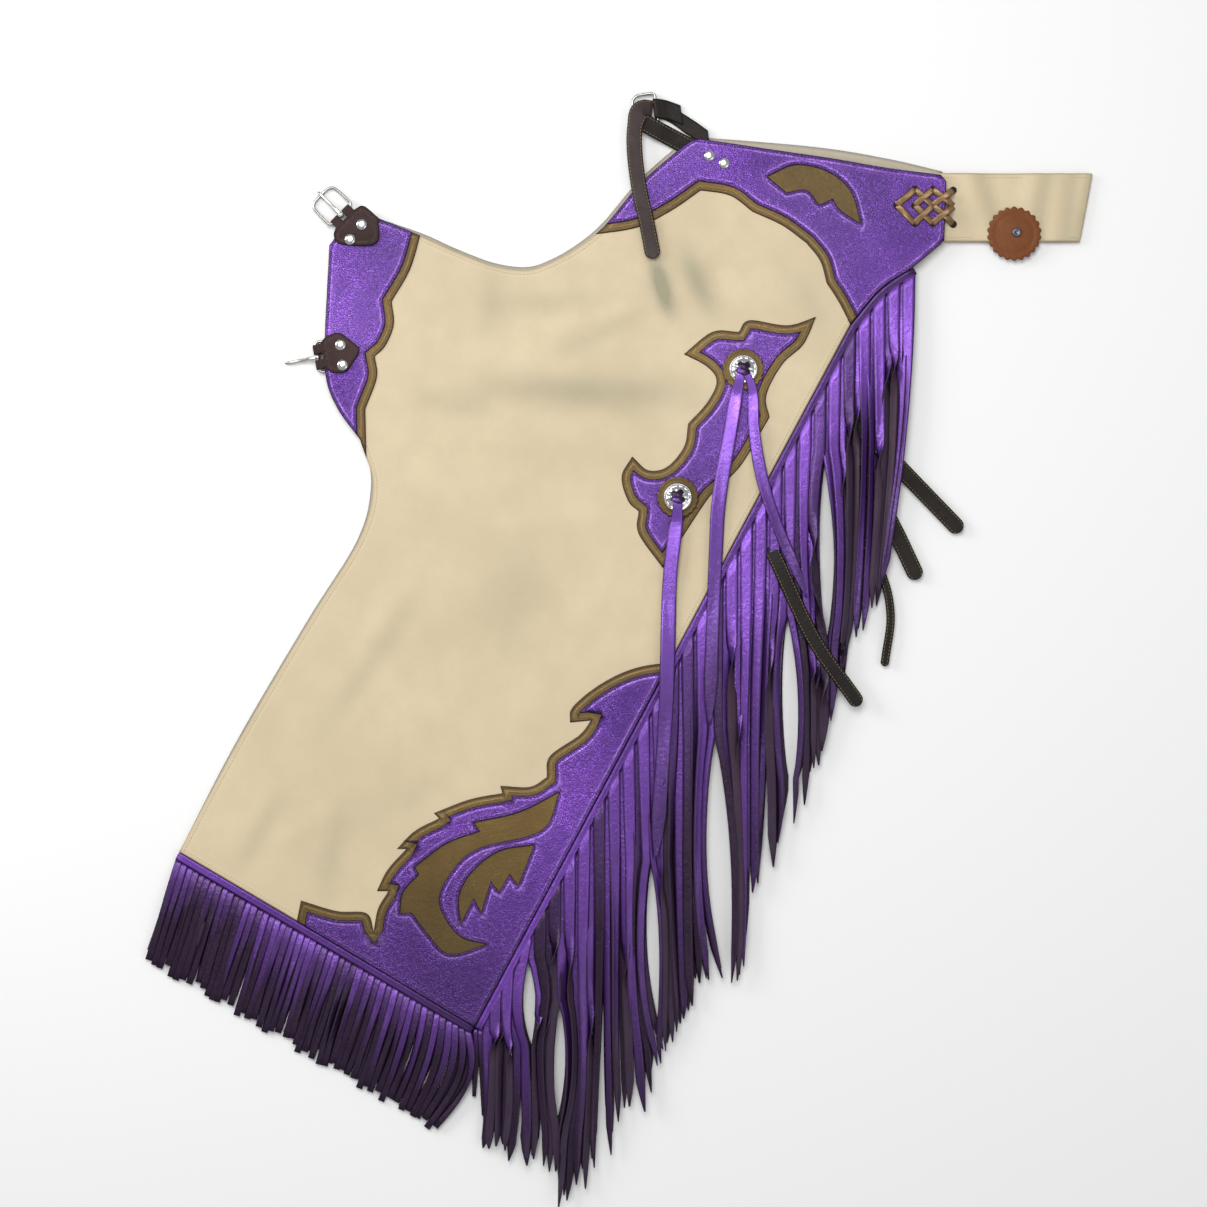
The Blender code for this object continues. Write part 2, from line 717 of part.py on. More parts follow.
def buckle_tab(name, bar, angle, shape, plate_z):
    """Leather tab on the overlay with two lugs that wrap the buckle's bar."""
    plate = prism(name, [local(bar, angle, -u, v) for u, v in shape], plate_z, 1.4, DARK, 0.6)
    fall = plate_z + 0.7 - bar[2]
    for number, v in enumerate((-7.2, 7.2)):
        drop = fall - LOOP_R
        path = [(-14.0, fall), (-6.9, fall), (-4.2, fall - 0.20 * drop), (-1.8, fall - 0.72 * drop)]
        for k in range(6):
            turn = math.radians(75 - 34 * k)
            path.append((LOOP_R * math.cos(turn), LOOP_R * math.sin(turn)))
        path.append((-4.5, -LOOP_R))
        rows = [(*local(bar, angle, u, v), bar[2] + z, 4.6) for u, z in path]
        across = local((0, 0), angle, 0, 1)
        lug = ribbon(name + "_lug_%d" % number, rows, LOOP_T, DARK, side=(*across, 0), group=CUTTERS)
        lug.hide_render = True
        lug.display_type = 'WIRE'
        union = plate.modifiers.new("Lug", 'BOOLEAN')
        union.operation = 'UNION'
        union.solver = 'EXACT'
        union.object = lug
    return plate


def rivet(name, x, y, z, radius=5.2, height=1.6, colour=STEEL):
    profile = [(0, height), (radius * 0.55, height * 0.86), (radius * 0.9, height * 0.45),
               (radius, 0), (0, 0)]
    return turned(name, x, y, z, profile, 12, colour)


clear_scene()
CHAPS = collection("leather_chaps")
CUTTERS = collection("cutters")

# Plan outlines
LEG_LINE = outline(UPPER_LEG, 24)
TRIM_LINES = {"yoke": outline(YOKE, 14), "thigh": outline(THIGH, 14),
              "mid": outline(MIDDLE, 13), "corner": outline(CORNER, 14)}
OVERLAY_LINES = {key: inset(loop, TRIM) for key, loop in TRIM_LINES.items()}
CUT_LINES = {"yoke": [outline(LEAF, 13)], "corner": [outline(FLAME, 15), outline(FROND, 15)]}
all_loops = [LEG_LINE] + list(TRIM_LINES.values()) + list(OVERLAY_LINES.values())
for cuts in CUT_LINES.values():
    all_loops += cuts
PLAN = net(all_loops, 36.0, LEG_LINE)

# Leg panels
under_line = outline(UNDER_LEG, 22)
slab("under_leg", net([under_line], 0, under_line), lambda x, y: winding(under_line, x, y) > 0,
     lambda x, y: 0.0, PANEL_T, CREAM, 0.6)
slab("upper_leg", PLAN, lambda x, y: winding(LEG_LINE, x, y) > 0, panel_z, PANEL_T, CREAM, 0.6)

# Overlays: a gold layer and a purple one above it
for key, title in (("yoke", "yoke"), ("thigh", "thigh_overlay"), ("mid", "mid_overlay"),
                   ("corner", "corner_overlay")):
    gold_line, purple_line, cuts = TRIM_LINES[key], OVERLAY_LINES[key], CUT_LINES.get(key, [])

    def in_gold(x, y):
        return winding(LEG_LINE, x, y) > 0 and winding(gold_line, x, y) > 0

    def in_purple(x, y):
        return in_gold(x, y) and winding(purple_line, x, y) > 0 and not any(
            winding(cut, x, y) for cut in cuts)

    slab(key + "_trim", PLAN, in_gold, lambda x, y: panel_z(x, y) + PANEL_T + GAP,
         TRIM_T, GOLD, 0.45, 0.5)
    slab(title, PLAN, in_purple, lambda x, y: panel_z(x, y) + PANEL_T + TRIM_T + 2 * GAP,
         OVERLAY_T, PURPLE, 0.35, 0.4)

# Seam lines, hem end first
side_path = polyline([(-127, -356), (229, 309)], 40)
side_path += polyline([(229, 309), (257, 342), (288, 363)], 18)[1:]
side_seam = Seam(side_path)
hem_seam = Seam(polyline([(-408, -191), (-127, -356)], 40))

# Fringe of the face-up leg
side_middle = PANEL_HIGH + PANEL_T / 2
fringe("side_fringe", side_seam, lambda x, y: side_middle, SIDE_HALF_T, (-SIDE_LAYER, SIDE_LAYER),
       side_strands(side_seam, SIDE_STRANDS, side_middle, 0.0, 3, 3), PURPLE)


def hem_height(x, y):
    return panel_z(x, y) + PANEL_T / 2


fringe("hem_fringe", hem_seam, hem_height, 1.1, (0.0,),
       hem_strands(hem_seam, hem_height, HEM_STRANDS, (98, 100), 3.6, 5, 2), PURPLE)

# Fringe of the face-down leg
under_middle = SIDE_HALF_T + GAP
fringe("under_side_fringe", side_seam, lambda x, y: under_middle, SIDE_HALF_T,
       (-SIDE_LAYER, SIDE_LAYER),
       side_strands(side_seam, UNDER_STRANDS, under_middle, 12.0, 11, 2), (0.05, 0.02, 0.06), 0.6, 0.0)
fringe("under_hem_fringe", hem_seam, lambda x, y: 1.2, 1.1, (0.0,),
       hem_strands(hem_seam, lambda x, y: 1.2, UNDER_HEM_STRANDS, (92, 94), 1.0, 8, 1),
       (0.05, 0.02, 0.06), 0.6, 0.0)

# Conchos with their leather rings and strings
for number, (cx, cy) in enumerate(((127, 266), (65, 145)), 1):
    base = max(top_at(cx + 19 * math.cos(a), cy + 19 * math.sin(a)) for a in range(7)) + 0.5
    ring = [(cx + (19 + (k % 2) * 1.0) * math.cos(math.pi * k / 16),
             cy + (19 + (k % 2) * 1.0) * math.sin(math.pi * k / 16)) for k in range(32)]
    prism("concho_ring_%d" % number, ring, base, 1.4, GOLD, 0.5, 0.3)
    shape = [(0, 4.6), (6, 4.2), (10, 2.6), (11, 2.3), (12.6, 2.8), (13.6, 1.4), (13.6, 0), (0, 0)]
    turned("concho_%d" % number, cx, cy, base + 1.4 + GAP, shape, 18, STEEL, 0.18)

STRINGS = [
    ("string_1", [(121, 244), (115, 209), (104, 143), (101, 96), (97, -4), (95, -70)], 6.6),
    ("string_2", [(136, 244), (137, 209), (145, 162), (159, 119), (176, 78), (187, 50)], 5.6),
    ("string_3", [(64, 123), (61, 100), (57, 57), (54, -47), (48, -142), (44, -197)], 7.0)]
for title, points, half in STRINGS:
    rows = drape(points, 22, half)
    ribbon(title, pointed(rows, half, (0.7, 0.2)), 1.2, PURPLE, roughness=0.35, metallic=0.4)

# Inner-thigh buckles
BAR_1, ANGLE_1 = (-254.0, 413.0, 5.6), 135.0
BAR_2, ANGLE_2 = (-276.5, 278.0, 4.2), 190.0
TAB_1 = [(6, -12.3), (10, -21), (28, -23), (43, -4), (20, 20), (10, 19), (6, 12.3)]
TAB_2 = [(6, -12.3), (12, -17), (24, -19), (34, -10), (41, 0), (34, 10), (24, 19), (12, 17), (6, 12.3)]
for number, bar, angle, shape in ((1, BAR_1, ANGLE_1, TAB_1), (2, BAR_2, ANGLE_2, TAB_2)):
    spots = [local(bar, angle, -u * t, v * t) for u, v in shape for t in (1.0, 0.7)]
    plate_z = max(top_at(*spot) for spot in spots) + GAP
    buckle_tab("thigh_tab_%d" % number, bar, angle, shape, plate_z)
    rivets = ((-234, 403), (-245, 389)) if number == 1 else ((-254, 289), (-252, 270))
    for k, (x, y) in enumerate(rivets):
        rivet("tab_rivet_%d" % (2 * number - 1 + k), x, y, plate_z + 1.4 + GAP)
# The first buckle lies open on the floor; the second is folded under the panel
# and only its tongue points out
buckle_frame("buckle_frame_1", BAR_1, ANGLE_1, -8)
buckle_tongue("buckle_tongue_1", BAR_1, ANGLE_1, -8)
buckle_frame("buckle_frame_2", BAR_2, ANGLE_2, -174.5)
buckle_tongue("buckle_tongue_2", BAR_2, ANGLE_2, -8)

# Front belt band: on the panel's inner side, out to the fold and back
BAND = [
    (276, 6.3), (318, 6.3), (336, 5.4), (356, 4.2), (400, 3.8), (430, 4.3), (444, 5.2),
    (450, 4.6), (452, 3.2), (449, 1.7), (440, 1.1), (400, 1.1), (356, 1.1), (336, 2.4),
    (318, 3.7), (276, 3.7)]
ribbon("front_band", [(x, 420, z, 33.0) for x, z in BAND], PANEL_T, CREAM,
       side=(0.184, 0.983, 0), roughness=0.6)

# Lacing: crossed laces between the eyelets
columns, lines = (272, 289, 306, 326), (436, 421, 404)
lace_loops = []
for i in range(3):
    for j in range(2):
        for j_from, j_to in ((j, j + 1), (j + 1, j)):
            a = Vector((columns[i], lines[j_from]))
            b = Vector((columns[i + 1], lines[j_to]))
            along = (b - a).normalized()
            side = Vector((-along.y, along.x)) * 2.3
            a, b = a - along * 2, b + along * 2
            lace_loops.append([a - side, b - side, b + side, a + side])


def lace_z(x, y):
    on_yoke = PANEL_HIGH + PANEL_T + TRIM_T + OVERLAY_T + 3 * GAP + 0.1
    return on_yoke - 5.4 * smooth((x - 320.5) / 5.0)


bend = [Vector(spot) for spot in ((320.6, 390), (320.6, 450), (321.0, 450), (321.0, 390))]
slab("lacing", net(lace_loops + [bend], 0, LEG_LINE),
     lambda x, y: any(winding(loop, x, y) for loop in lace_loops), lace_z, 1.3, GOLD, 0.4, 0.5)

# Rosette on the band
LOBES = 18
petals = []
for k in range(LOBES * 3):
    turn = 2 * math.pi * k / (LOBES * 3)
    radius = 25.8 - (1.6 if k % 3 == 0 else 0.0)
    petals.append((384 + radius * math.cos(turn), 395 + radius * math.sin(turn)))
prism("rosette", petals, 5.6, 3.0, TAN, 0.5)
rivet("rosette_rivet", 386, 396, 8.9, 4.6, 1.6)

# Back belt: the face-down yoke's buckle strap, the face-up yoke's billet and its tail
LOOP_BAR = (45.0, 514.0, 3.6)
loop_rows = [(91, 496.4, 0.9), (77, 504, 0.9), (63, 510, 0.9), (52, 513, 0.9)]
for k in range(6):
    turn = math.radians(-90 - 36 * k)
    loop_rows.append((LOOP_BAR[0] + LOOP_R * math.cos(turn), LOOP_BAR[1],
                      LOOP_BAR[2] + LOOP_R * math.sin(turn)))
loop_rows += [(51, 513.5, 4.4), (58, 512, 3.0), (69, 508, 3.0)]
ribbon("back_loop", [(*p, 9.5) for p in loop_rows], LOOP_T, DARK, side=(-0.122, 0.9925, 0), roughness=0.6)
billet = [(122, 459, 3.8), (100, 467, 3.8), (78, 477, 3.8), (64, 484, 4.0), (54, 489, 5.8),
          (46, 493, 7.5), (28, 503, 7.5)]
ribbon("back_billet", [(*p, 8.6) for p in billet], STRAP_T, DARK, roughness=0.6)
buckle_frame("back_buckle", LOOP_BAR, 187, 0, 30, 22)
tail = drape([(25, 500), (24, 478), (28, 441), (36, 404), (41, 378)], 14, 7.4, lowest=8.4)
ribbon("back_tail", rounded_end(tail, 7.4), STRAP_T, DARK, roughness=0.6)
for number, (x, y) in enumerate(((95, 468), (109, 461)), 1):
    rivet("yoke_rivet_%d" % number, x, y, top_at(x, y) + 0.6)

# Leg straps: half width, height, path; three lie between the two fringes and
# the last has come out on top
BETWEEN_FRINGES = 5.4
ON_FRINGE = PANEL_HIGH + PANEL_T / 2 + SIDE_HALF_T + 2 * GAP + STRAP_T / 2
LEG_STRAPS = [
    (7.8, BETWEEN_FRINGES, [(214, 234), (246, 204), (276, 173), (329, 118)]),
    (7.8, BETWEEN_FRINGES, [(222, 180), (250, 152), (270, 116), (290, 74)]),
    (4.0, BETWEEN_FRINGES, [(232, 118), (258, 74), (267, 34), (262, -8)]),
    (7.0, ON_FRINGE, [(146, 112), (161, 80), (193, 12), (233, -46)])]
for number, (half, height, points) in enumerate(LEG_STRAPS, 1):
    rows = [(p.x, p.y, height, half) for p in polyline(points, 40)]
    ribbon("leg_strap_%d" % number, rounded_end(rows, half), STRAP_T, DARK, roughness=0.6)

# The plan is shifted so that the origin is under the middle of its box
for item in list(CHAPS.objects) + list(CUTTERS.objects):
    item.location.x += CENTRE[0] * MM
    item.location.y += CENTRE[1] * MM
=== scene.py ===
"""The looks of the leather chaps, folded in half at the front and laid flat.

Sizes are the pattern's own millimetres: x to the belt's front fold, y to the
waist, z up from the floor. Each section makes one piece or group of like
pieces, in the order in which the real chaps are put together.
"""
import math
import random

import bmesh
import bpy
import numpy as np
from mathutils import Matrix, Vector
from mathutils.bvhtree import BVHTree
from mathutils.geometry import delaunay_2d_cdt


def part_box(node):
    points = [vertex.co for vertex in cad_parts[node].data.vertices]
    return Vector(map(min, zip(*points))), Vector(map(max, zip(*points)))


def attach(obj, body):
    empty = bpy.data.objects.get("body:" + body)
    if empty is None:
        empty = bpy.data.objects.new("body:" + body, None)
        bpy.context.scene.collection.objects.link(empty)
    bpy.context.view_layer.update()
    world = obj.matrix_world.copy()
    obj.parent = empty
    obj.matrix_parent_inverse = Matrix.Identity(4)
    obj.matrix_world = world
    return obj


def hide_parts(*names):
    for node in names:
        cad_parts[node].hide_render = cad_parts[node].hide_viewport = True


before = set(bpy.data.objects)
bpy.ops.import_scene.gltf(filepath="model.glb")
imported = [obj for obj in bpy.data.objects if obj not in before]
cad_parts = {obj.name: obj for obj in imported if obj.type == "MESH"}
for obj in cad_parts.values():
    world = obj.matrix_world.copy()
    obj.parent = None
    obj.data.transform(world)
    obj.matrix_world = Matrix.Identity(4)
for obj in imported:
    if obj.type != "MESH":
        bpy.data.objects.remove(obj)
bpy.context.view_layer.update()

# Camera, floor and light
# The chaps lie on a pale floor and are seen from straight above, as in the
# photograph, under a broad soft light beyond the waist and a low one at the left.

VIEW_CENTRE = (-0.0149, 0.0452)
VIEW_WIDTH = 1.1467
VIEW_HEIGHT = 2.6

camera_data = bpy.data.cameras.new("camera")
camera_data.sensor_width = 36
camera_data.lens = 36 * VIEW_HEIGHT / VIEW_WIDTH
camera = bpy.data.objects.new("camera", camera_data)
camera.location = (*VIEW_CENTRE, VIEW_HEIGHT)
bpy.context.scene.collection.objects.link(camera)
bpy.context.scene.camera = camera

floor_mesh = bpy.data.meshes.new("floor")
floor_mesh.from_pydata([(-6, -6, 0), (6, -6, 0), (6, 6, 0), (-6, 6, 0)], [], [(0, 1, 2, 3)])
floor = bpy.data.objects.new("floor", floor_mesh)
bpy.context.scene.collection.objects.link(floor)
floor_paint = bpy.data.materials.new("floor")
floor_paint.use_nodes = True
floor_paint.node_tree.nodes["Principled BSDF"].inputs["Base Color"].default_value = (0.9, 0.9, 0.89, 1)
floor_paint.node_tree.nodes["Principled BSDF"].inputs["Roughness"].default_value = 0.9
floor_mesh.materials.append(floor_paint)

for name, place, size, power in (("key", (-0.35, 1.0, 2.3), 1.4, 36), ("low", (-1.7, 0.9, 0.9), 0.8, 17),
                                 ("fill", (1.6, -0.7, 1.9), 1.4, 7)):
    lamp = bpy.data.lights.new(name, 'AREA')
    lamp.size = size
    lamp.energy = power
    light = bpy.data.objects.new(name, lamp)
    light.location = place
    light.rotation_euler = (Vector(place) - Vector((0, 0, 0))).to_track_quat('Z', 'Y').to_euler()
    bpy.context.scene.collection.objects.link(light)

world = bpy.data.worlds.new("studio")
world.use_nodes = True
world.node_tree.nodes["Background"].inputs["Color"].default_value = (0.97, 0.98, 1.0, 1)
world.node_tree.nodes["Background"].inputs["Strength"].default_value = 0.40
bpy.context.scene.world = world
bpy.context.scene.view_settings.view_transform = 'Standard'


# Leg panels
# Each leg is one piece of smooth cream chap leather about 2 mm thick, its edge
# turned and sewn. The face-up leg drapes in soft folds over the face-down one,
# of which only slivers of the grey-beige flesh side show at the edges.

# Pattern outlines: x, y, corner (1) or smooth (0)
UPPER_LEG = [
    (82, 485, 1), (200, 468, 0), (262, 457, 0), (314, 450, 1), (319, 444, 1), (317, 388, 1),
    (288, 363, 0), (257, 342, 0), (229, 309, 1), (-127, -356, 1), (-408, -191, 1),
    (-351, -85, 0), (-284, 29, 0), (-237, 105, 0), (-224, 156, 0), (-236, 200, 1),
    (-257, 229, 0), (-268, 258, 0), (-269, 302, 0), (-265, 384, 1), (-238, 418, 1),
    (-180, 394, 0), (-144, 378, 0), (-109, 365, 0), (-80, 361, 0), (-60, 366, 0),
    (-33, 380, 0), (-5, 402, 0), (29, 442, 0), (67, 475, 0)]
UNDER_LEG = [
    (80, 488, 1), (196, 478, 0), (264, 467, 0), (316, 455, 1), (321, 446, 1), (316, 386, 1),
    (285, 361, 0), (255, 341, 0), (229, 309, 1), (-127, -356, 1), (-408, -191, 1),
    (-353, -85, 0), (-286, 29, 0), (-239, 105, 0), (-226, 156, 0), (-232, 200, 1),
    (-235, 238, 1), (-235, 312, 1), (-264, 316, 1), (-262, 384, 1), (-237, 416, 1),
    (-180, 397, 0), (-144, 381, 0), (-109, 368, 0), (-80, 364, 0), (-60, 369, 0),
    (-34, 383, 0), (-7, 405, 0), (27, 445, 0), (64, 478, 0)]

PANEL_T = 2.2
PANEL_LOW = 2.6
PANEL_HIGH = 7.8
RAMP = 150.0
HEM_CORNER = (-127.0, -356.0)
SEAM_RISE = (356.0, 665.0)

# Folds of the face-up leg: middle x, y, direction (degrees), half length, width, height
FOLDS = [
    (-70, 262, -6, 170, 26, 3.0), (-60, 205, -14, 150, 22, 2.2), (20, 330, 78, 60, 16, 2.0),
    (-120, 60, 32, 150, 34, 2.4), (-190, -70, 24, 150, 30, 2.0), (-90, -60, 60, 120, 30, 2.2)]
# Creases too small for the solids, same columns
CREASES = [
    (58, 340, 102, 62, 7, 1.3), (92, 352, 106, 58, 8, 1.5), (-12, 315, 12, 70, 9, 0.9),
    (-130, 232, -10, 60, 10, 0.8), (10, 236, -20, 80, 9, 0.9), (-175, 330, 70, 60, 12, 0.9),
    (-60, 120, 8, 110, 14, 1.0), (-205, 40, 58, 90, 12, 1.1), (-240, -60, 52, 110, 14, 1.2),
    (-20, 40, 66, 90, 15, 1.0), (-150, -150, 18, 90, 16, 1.1), (-290, -170, 40, 60, 12, 0.9)]
# Grey worn stains on the cream leather, and painted shade along its folds and creases: x, y, direction, half length,
# width, strength
STAINS_AND_FOLD_SHADE = [
    (50, 346, 106, 46, 8, 2.6), (84, 350, 112, 54, 11, 1.5), (-20, 246, -2, 150, 17, 1.0),
    (-150, 236, -8, 60, 14, 0.6), (150, 110, 62, 60, 16, 0.5), (-60, 330, 4, 90, 12, 0.5),
    (-230, -20, 56, 120, 12, 0.55), (-90, 40, 80, 120, 26, 0.3), (-200, -140, 25, 70, 22, 0.4),
    (-330, -170, 60, 60, 10, 0.6), (-262, -190, 78, 70, 12, 0.6), (190, 330, 120, 60, 12, 0.4),
    (-112, 330, 80, 60, 14, 0.5), (-10, 300, 24, 70, 9, 0.5)]
# Where the leg lies over a strap or a buckle: x, y, radius, height
LIFTS = [(90, 473, 52, 4.0), (-266, 278, 30, 3.4), (-254, 404, 26, 2.4)]


def smooth(t):
    t = np.clip(t, 0.0, 1.0)
    return t * t * (3 - 2 * t)


def panel_z(x, y):
    """Height of the face-up leg's underside."""
    x, y = np.asarray(x, float), np.asarray(y, float)
    length = math.hypot(*SEAM_RISE)
    inside = ((y - HEM_CORNER[1]) * SEAM_RISE[0] - (x - HEM_CORNER[0]) * SEAM_RISE[1]) / length
    z = PANEL_LOW + (PANEL_HIGH - PANEL_LOW) * smooth(1 - np.maximum(0, inside) / RAMP)
    for row in FOLDS + CREASES:
        z = z + row[5] * ridge(x, y, row)
    for lx, ly, radius, height in LIFTS:
        z = z + height * np.exp(-((x - lx) ** 2 + (y - ly) ** 2) / radius ** 2)
    return z


def ridge(x, y, row):
    """How far up a long soft hill the place is, from 0 to 1."""
    hx, hy, angle, half, width = row[:5]
    c, s = math.cos(math.radians(angle)), math.sin(math.radians(angle))
    u = ((x - hx) * c + (y - hy) * s) / half
    v = ((y - hy) * c - (x - hx) * s) / width
    return np.where(np.abs(u) < 1, (1 - u * u) ** 2, 0) * np.exp(-v * v)


def outline(rows, step):
    """Closed outline through the rows, anticlockwise: smooth runs between corners."""
    points = []
    count = len(rows)
    for i in range(count):
        before, here = np.array(rows[i - 1][:2], float), np.array(rows[i][:2], float)
        there, after = np.array(rows[(i + 1) % count][:2], float), np.array(rows[(i + 2) % count][:2], float)
        leave = there - here if rows[i][2] else (there - before) / 2
        arrive = there - here if rows[(i + 1) % count][2] else (after - here) / 2
        steps = max(1, round(np.linalg.norm(there - here) / step))
        for k in range(steps):
            t = k / steps
            points.append(here * (2 * t ** 3 - 3 * t ** 2 + 1) + leave * (t ** 3 - 2 * t ** 2 + t)
                          + there * (3 * t ** 2 - 2 * t ** 3) + arrive * (t ** 3 - t ** 2))
    points = np.array(points)
    return points if flat_area(points) > 0 else points[::-1].copy()


def flat_area(points):
    x, y = points.T
    return float(np.sum(x * np.roll(y, -1) - np.roll(x, -1) * y) / 2)


def inside(loop, xy):
    """True for each row of xy that the anticlockwise loop winds round."""
    turns = np.zeros(len(xy), int)
    for a, b in zip(loop, np.roll(loop, -1, axis=0)):
        side = (b[0] - a[0]) * (xy[:, 1] - a[1]) - (xy[:, 0] - a[0]) * (b[1] - a[1])
        turns += (a[1] <= xy[:, 1]) & (xy[:, 1] < b[1]) & (side > 0)
        turns -= (b[1] <= xy[:, 1]) & (xy[:, 1] < a[1]) & (side < 0)
    return turns > 0


def gap_to(loops, xy):
    """Distance from each row of xy to the nearest edge of the loops."""
    best = np.full(len(xy), 1e9)
    for loop in loops:
        for a, b in zip(loop, np.roll(loop, -1, axis=0)):
            run = b - a
            t = np.clip((xy - a) @ run / max(run @ run, 1e-9), 0, 1)
            best = np.minimum(best, np.linalg.norm(xy - a - t[:, None] * run, axis=1))
    return best


# The pattern's zero against the frame's, from the leg panel's own corner
leg_line = outline(UPPER_LEG, 4)
SHIFT = np.array(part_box("upper_leg")[0][:2]) * 1000 - leg_line.min(axis=0)


def in_frame(points):
    points = np.asarray(points, float).reshape(-1, 3)
    return (points + (SHIFT[0], SHIFT[1], 0)) / 1000


def piece(name, points, faces, *materials, kinds=None, even=True):
    """A mesh object from points in the pattern's millimetres."""
    mesh = bpy.data.meshes.new(name)
    mesh.from_pydata(in_frame(points).tolist(), [], faces)
    for material in materials:
        mesh.materials.append(material)
    if kinds is not None:
        mesh.polygons.foreach_set("material_index", kinds)
    if even:
        mesh.polygons.foreach_set("use_smooth", [True] * len(mesh.polygons))
    mesh.update()
    made = bpy.data.objects.new(name, mesh)
    bpy.context.scene.collection.objects.link(made)
    return made


def note(made, name, values):
    """A number for each point of the mesh, which its material reads."""
    made.data.attributes.new(name, 'FLOAT', 'POINT').data.foreach_set("value", np.asarray(values, np.float32))


def joined(faces):
    """The faces that hang together with the biggest group."""
    owner = {}
    for index, face in enumerate(faces):
        for point in face:
            owner.setdefault(point, []).append(index)
    group = [-1] * len(faces)
    sizes = []
    for start in range(len(faces)):
        if group[start] < 0:
            queue = [start]
            group[start] = len(sizes)
            sizes.append(0)
            while queue:
                one = queue.pop()
                sizes[-1] += 1
                for point in faces[one]:
                    for other in owner[point]:
                        if group[other] < 0:
                            group[other] = group[start]
                            queue.append(other)
    biggest = sizes.index(max(sizes))
    return [face for face, one in zip(faces, group) if one == biggest]


def sheet_of_leather(name, loops, keep, under, thickness, step, material, rings=(1.0, 2.4, 4.2),
                     roll=0.8, groove=0.0, groove_at=2.6):
    """A wall of leather over the plan: its edge is rounded, and a sewn line sinks in."""
    points = [p for loop in loops for p in loop]
    edges, first = [], 0
    for loop in loops:
        edges += [(first + i, first + (i + 1) % len(loop)) for i in range(len(loop))]
        first += len(loop)
    inner = []
    for loop in loops:
        ahead = np.roll(loop, -1, axis=0) - np.roll(loop, 1, axis=0)
        ahead /= np.maximum(np.linalg.norm(ahead, axis=1), 1e-9)[:, None]
        across = np.stack((-ahead[:, 1], ahead[:, 0]), axis=1)
        for ring in rings:
            for side in (1, -1):
                spots = loop + across * ring * side
                good = (gap_to(loops, spots) > ring * 0.93) & keep(spots)
                inner.append(spots[good])
    low, high = loops[0].min(axis=0), loops[0].max(axis=0)
    xs = np.arange(low[0], high[0], step)
    ys = np.arange(low[1], high[1], step * 0.87)
    grid = np.array([(x + (row % 2) * step / 2, y) for row, y in enumerate(ys) for x in xs])
    grid = grid[keep(grid)]
    inner.append(grid[gap_to(loops, grid) > rings[-1] + step * 0.5])
    points = np.vstack([np.array(points)] + inner)
    found = delaunay_2d_cdt([Vector(p) for p in points], edges, [], 0, 0.02)
    plan = np.array([tuple(p) for p in found[0]])
    faces = [tuple(face) for face in found[2]]
    middles = plan[np.array(faces)].mean(axis=1)
    faces = joined([face for face, good in zip(faces, keep(middles)) if good])
    used = sorted({i for face in faces for i in face})
    index = {old: new for new, old in enumerate(used)}
    plan = plan[used]
    faces = [tuple(index[i] for i in face) for face in faces]
    gap = gap_to(loops, plan)
    base = under(plan[:, 0], plan[:, 1])
    fall = roll * (1 - np.sqrt(np.clip(1 - (1 - gap / 2.2).clip(0, 1) ** 2, 0, 1)))
    top = base + thickness - fall - groove * np.exp(-((gap - groove_at) / 0.9) ** 2)
    count = len(plan)
    walls = [tuple(face) for face in faces] + [tuple(count + i for i in face[::-1]) for face in faces]
    sides = {(a, b) for face in faces for a, b in zip(face, face[1:] + face[:1])}
    walls += [(b, a, a + count, b + count) for a, b in sides if (b, a) not in sides]
    made = piece(name, np.vstack((np.column_stack((plan, top)), np.column_stack((plan, base)))), walls, material)
    note(made, "rim", np.concatenate((np.exp(-gap / 2.4), np.ones(count))))
    # Painted highlight: a line just inside the sewn groove, where the padded edge would catch the light.
    note(made, "rubbed", np.concatenate((np.exp(-((gap - groove_at - 1.4) / 0.8) ** 2), np.zeros(count))))
    return made


def node_maker(tree):
    """A short way to add a node with its properties and input values."""
    def add(kind, inputs=(), **properties):
        node = tree.nodes.new(kind)
        for key, value in properties.items():
            setattr(node, key, value)
        for key, value in dict(inputs).items():
            if isinstance(value, bpy.types.NodeSocket):
                tree.links.new(value, node.inputs[key])
            else:
                node.inputs[key].default_value = value
        return node
    return add


def group_sockets(tree, inputs, outputs):
    for name, kind, value in inputs:
        socket = tree.interface.new_socket(name, in_out='INPUT', socket_type=kind)
        if value is not None:
            socket.default_value = value
    for name, kind in outputs:
        tree.interface.new_socket(name, in_out='OUTPUT', socket_type=kind)


# Leather grain: pebbles, pores and soft blotches, as heights and masks
grain = bpy.data.node_groups.new("leather_grain", 'ShaderNodeTree')
group_sockets(grain, [("Pebbles per metre", 'NodeSocketFloat', 700.0), ("Wrinkle", 'NodeSocketFloat', 0.5)],
              [("Height", 'NodeSocketFloat'), ("Cracks", 'NodeSocketFloat'), ("Blotch", 'NodeSocketFloat'),
               ("Broad", 'NodeSocketFloat')])
add = node_maker(grain)
given = add('NodeGroupInput')
result = add('NodeGroupOutput')
spot = add('ShaderNodeTexCoord').outputs["Object"]
bend_it = add('ShaderNodeTexNoise', {"Vector": spot, "Scale": 160.0, "Detail": 2.0})
shift_it = add('ShaderNodeVectorMath', {0: bend_it.outputs["Color"], 1: (0.5, 0.5, 0.5)}, operation='SUBTRACT')
scaled = add('ShaderNodeVectorMath', {0: shift_it.outputs[0], "Scale": 0.0022}, operation='SCALE')
bent = add('ShaderNodeVectorMath', {0: spot, 1: scaled.outputs[0]}, operation='ADD')
pebble = add('ShaderNodeTexVoronoi', {"Vector": bent.outputs[0], "Scale": given.outputs[0]}, feature='DISTANCE_TO_EDGE')
pebble_high = add('ShaderNodeMapRange', {"Value": pebble.outputs["Distance"], "From Max": 0.22})
